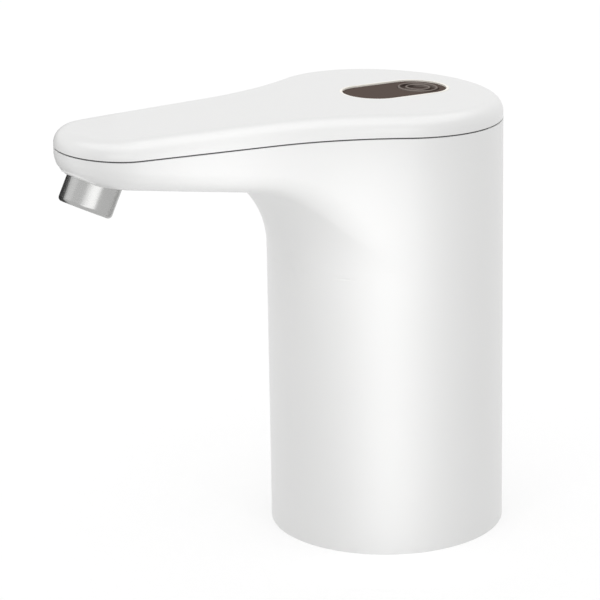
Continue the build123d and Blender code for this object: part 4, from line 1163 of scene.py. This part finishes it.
@dataclass
class Board(SubAssembly):
    """Main board with its chips and the legs that they are soldered by."""

    nodes: tuple[str, ...] = ("main_board", "board_chips")
    top: float = 121.5
    leg_width: float = 0.4
    leg_reach: float = 0.75
    leg_height: float = 0.55
    leg_thickness: float = 0.15
    shoulder_share: float = 0.4
    chips: tuple[Chip, ...] = (
        Chip(-4.5, 7.0, 2.5, 3.1, 4),
        Chip(-2.0, -7.0, 2.0, 2.0, 3),
        Chip(4.5, -8.0, 1.5, 1.5, 2),
        Chip(4.5, 8.0, 3.0, 1.75, 2),
        Chip(-22.0, 8.0, 1.6, 0.8, 1),
        Chip(-22.0, -8.0, 1.6, 0.8, 1),
    )

    def leg_recipe(self) -> PieceGraph:
        """Return the tree that makes one bent leg at each point: shoulder, riser and foot."""
        names = ("Leg Width", "Leg Reach", "Leg Height", "Thickness")
        graph = PieceGraph("chip_legs", *names)
        width, reach, height, sheet = graph.lengths.values()
        bend = self.shoulder_share
        bars = (
            (reach * bend, sheet, reach * (bend / 2), height - sheet / 2),
            (sheet, height, reach * bend, height / 2),
            (reach * (1 - bend), sheet, reach * ((1 + bend) / 2), sheet / 2),
        )
        parts = []
        for long, tall, x, z in bars:
            bar = graph.node("GeometryNodeMeshCube", {"Size": graph.vector(long, width, tall)})
            parts.append(graph.moved(bar, x, z))
        graph.repeat(graph.node("GeometryNodeJoinGeometry", {0: parts}))
        return graph

    def add_pieces(self) -> None:
        """Add the bent legs along two sides of every chip."""
        copies = []
        for chip in self.chips:
            for side, angle in ((1, 0.0), (-1, pi)):
                for leg in range(chip.legs):
                    offset = (leg - (chip.legs - 1) / 2) * 2 * chip.half_y / chip.legs
                    spot = (chip.x + side * chip.half_x, chip.y + offset, self.top)
                    copies.append((spot, (0.0, 0.0, angle)))
        sizes = [self.leg_width, self.leg_reach, self.leg_height, self.leg_thickness]
        nickel = self.workshop.finishes["nickel_strip"]
        legs = self.leg_recipe().make("chip_legs", copies, sizes, nickel)
        self.workshop.fit(legs, "pump_body", "nickel_strip")


@dataclass(frozen=True)
class ScrewKind:
    """Places and sizes of one kind of screw, in millimetres."""

    node: str
    places: tuple[Spot, ...]
    seat: float
    length: float
    radius: float
    head_radius: float
    head_height: float
    pitch: float
    upwards: bool = True


@dataclass
class Screws(SubAssembly):
    """All screws, with domed heads, cross recesses and real threads."""

    lug_places: tuple[Spot, ...] = (
        (10.808, 29.694), (-20.312, 24.207), (-20.312, -24.207), (10.808, -29.694),
    )
    board_places: tuple[Spot, ...] = ((15.5, 9.5), (15.5, -9.5), (-16.5, 9.5), (-16.5, -9.5))
    post_offset: float = 22.0
    housing_corner: float = 10.7
    motor_offset: float = 8.5
    thread_depth: float = 0.14
    thread_share: float = 0.92
    thread_start: float = 0.04
    thread_sides: int = 4
    thread_steps: int = 16
    shank_sides: int = 20
    dome_power: float = 3.0
    dome_drop: float = 0.42
    recess_length: float = 1.15
    recess_width: float = 0.24
    recess_depth: float = 1.05

    def kinds(self) -> tuple[ScrewKind, ...]:
        """Return every kind of screw in the pump."""
        axis, corner = PUMP_AXIS_X, self.housing_corner
        posts = ((axis, self.post_offset), (axis, -self.post_offset))
        ends = ((axis, self.motor_offset), (axis, -self.motor_offset))
        corners = tuple((axis + corner * i, corner * j) for i in (-1, 1) for j in (-1, 1))
        # node, places, seat, length, shank radius, head radius, head height, pitch, upwards
        return (
            ScrewKind("base_screws", self.lug_places, 34.0, 11.2, 1.43, 2.5, 1.8, 1.1),
            ScrewKind("cover_screws", self.lug_places, 119.0, 12.7, 1.43, 2.5, 1.8, 1.1),
            ScrewKind("deck_screws", posts, 116.5, 11.2, 1.25, 2.5, 1.8, 0.5, False),
            ScrewKind("board_screws", self.board_places, 121.5, 4.7, 0.9, 1.7, 1.2, 0.7, False),
            ScrewKind("pump_screws", corners, 51.0, 26.5, 1.0, 1.9, 1.4, 0.8),
            ScrewKind("motor_screws", ends, 77.5, 5.1, 1.2, 1.8, 1.3, 0.5),
        )

    def head(self, graph: PieceGraph, radius: Signal, height: Signal) -> Node:
        """Return a domed head with a cross recess, its seat at height 0.

        Args:
            graph: The tree that it is made in.
            radius: Radius of the head.
            height: Height of the head.

        Returns:
            The head's last node.
        """
        blank = {"Vertices": 32, "Side Segments": 3, "Fill Segments": 4}
        disc = graph.node("GeometryNodeMeshCylinder", {**blank, "Radius": radius, "Depth": height})
        spot = graph.node("ShaderNodeSeparateXYZ", {0: graph.node("GeometryNodeInputPosition")})
        x, y, z = (Signal(graph, socket) for socket in spot.outputs)
        out = (x * x + y * y).root() / radius
        below = (0.5 - z / height).most(0.0)
        dome = out.power(self.dome_power) * height * self.dome_drop * below
        shift = {"Geometry": disc, "Offset": graph.vector(0.0, 0.0, dome)}
        domed = graph.node("GeometryNodeSetPosition", shift)
        lowered = graph.moved(domed, 0.0, height * -0.5)
        long, thin = radius * self.recess_length, radius * self.recess_width
        slots = []
        for size in (graph.vector(long, thin, height), graph.vector(thin, long, height)):
            bar = graph.node("GeometryNodeMeshCube", {"Size": size})
            slots.append(graph.moved(bar, 0.0, height * -self.recess_depth))
        cut = {"operation": "DIFFERENCE", "solver": "EXACT"}
        return graph.node("GeometryNodeMeshBoolean", {0: lowered, 1: slots}, **cut)

    def recipe(self) -> PieceGraph:
        """Return the tree that makes one screw at each point, its shank up from the seat."""
        names = ("Shank Radius", "Length", "Head Radius", "Head Height", "Pitch", "Thread Depth")
        graph = PieceGraph("threaded_screw", *names)
        radius, length, head, tall, pitch, depth = graph.lengths.values()
        core = radius - depth
        body = {"Vertices": self.shank_sides, "Radius": core, "Depth": length}
        shank = graph.node("GeometryNodeMeshCylinder", body)
        coil = {
            "Resolution": self.thread_steps,
            "Rotations": length * self.thread_share / pitch,
            "Start Radius": core,
            "End Radius": core,
            "Height": length * self.thread_share,
        }
        spiral = graph.node("GeometryNodeCurveSpiral", coil)
        thread = graph.wire(spiral, depth, self.thread_sides)
        parts = [
            self.head(graph, head, tall),
            graph.moved(shank, 0.0, length / 2),
            graph.moved(thread, 0.0, length * self.thread_start),
        ]
        graph.repeat(graph.node("GeometryNodeJoinGeometry", {0: parts}))
        return graph

    def add_pieces(self) -> None:
        """Put a threaded screw where each plain one is."""
        graph = self.recipe()
        steel = self.workshop.finishes["screw_steel"]
        for kind in self.kinds():
            turn = (0.0 if kind.upwards else pi, 0.0, 0.0)
            copies = [((*spot, kind.seat), turn) for spot in kind.places]
            head = (kind.head_radius, kind.head_height)
            sizes = [kind.radius, kind.length, *head, kind.pitch, self.thread_depth]
            piece = graph.make(f"threaded_{kind.node}", copies, sizes, steel)
            self.workshop.fit(piece, "pump_body", "screw_steel", kind.node)


def main() -> None:
    """Build the scene in order and report its pieces."""
    logging.basicConfig(level=logging.INFO, format="%(message)s")
    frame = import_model()
    camera = Camera().build()
    Studio().build(camera)
    workshop = Workshop(frame)
    for sub_assembly in (Housing, ControlPanel, Spout, Pump, Motor, Power, Board, Screws):
        sub_assembly(workshop).build()
    bpy.context.scene.view_settings.view_transform = "Standard"


if __name__ == "__main__":
    main()
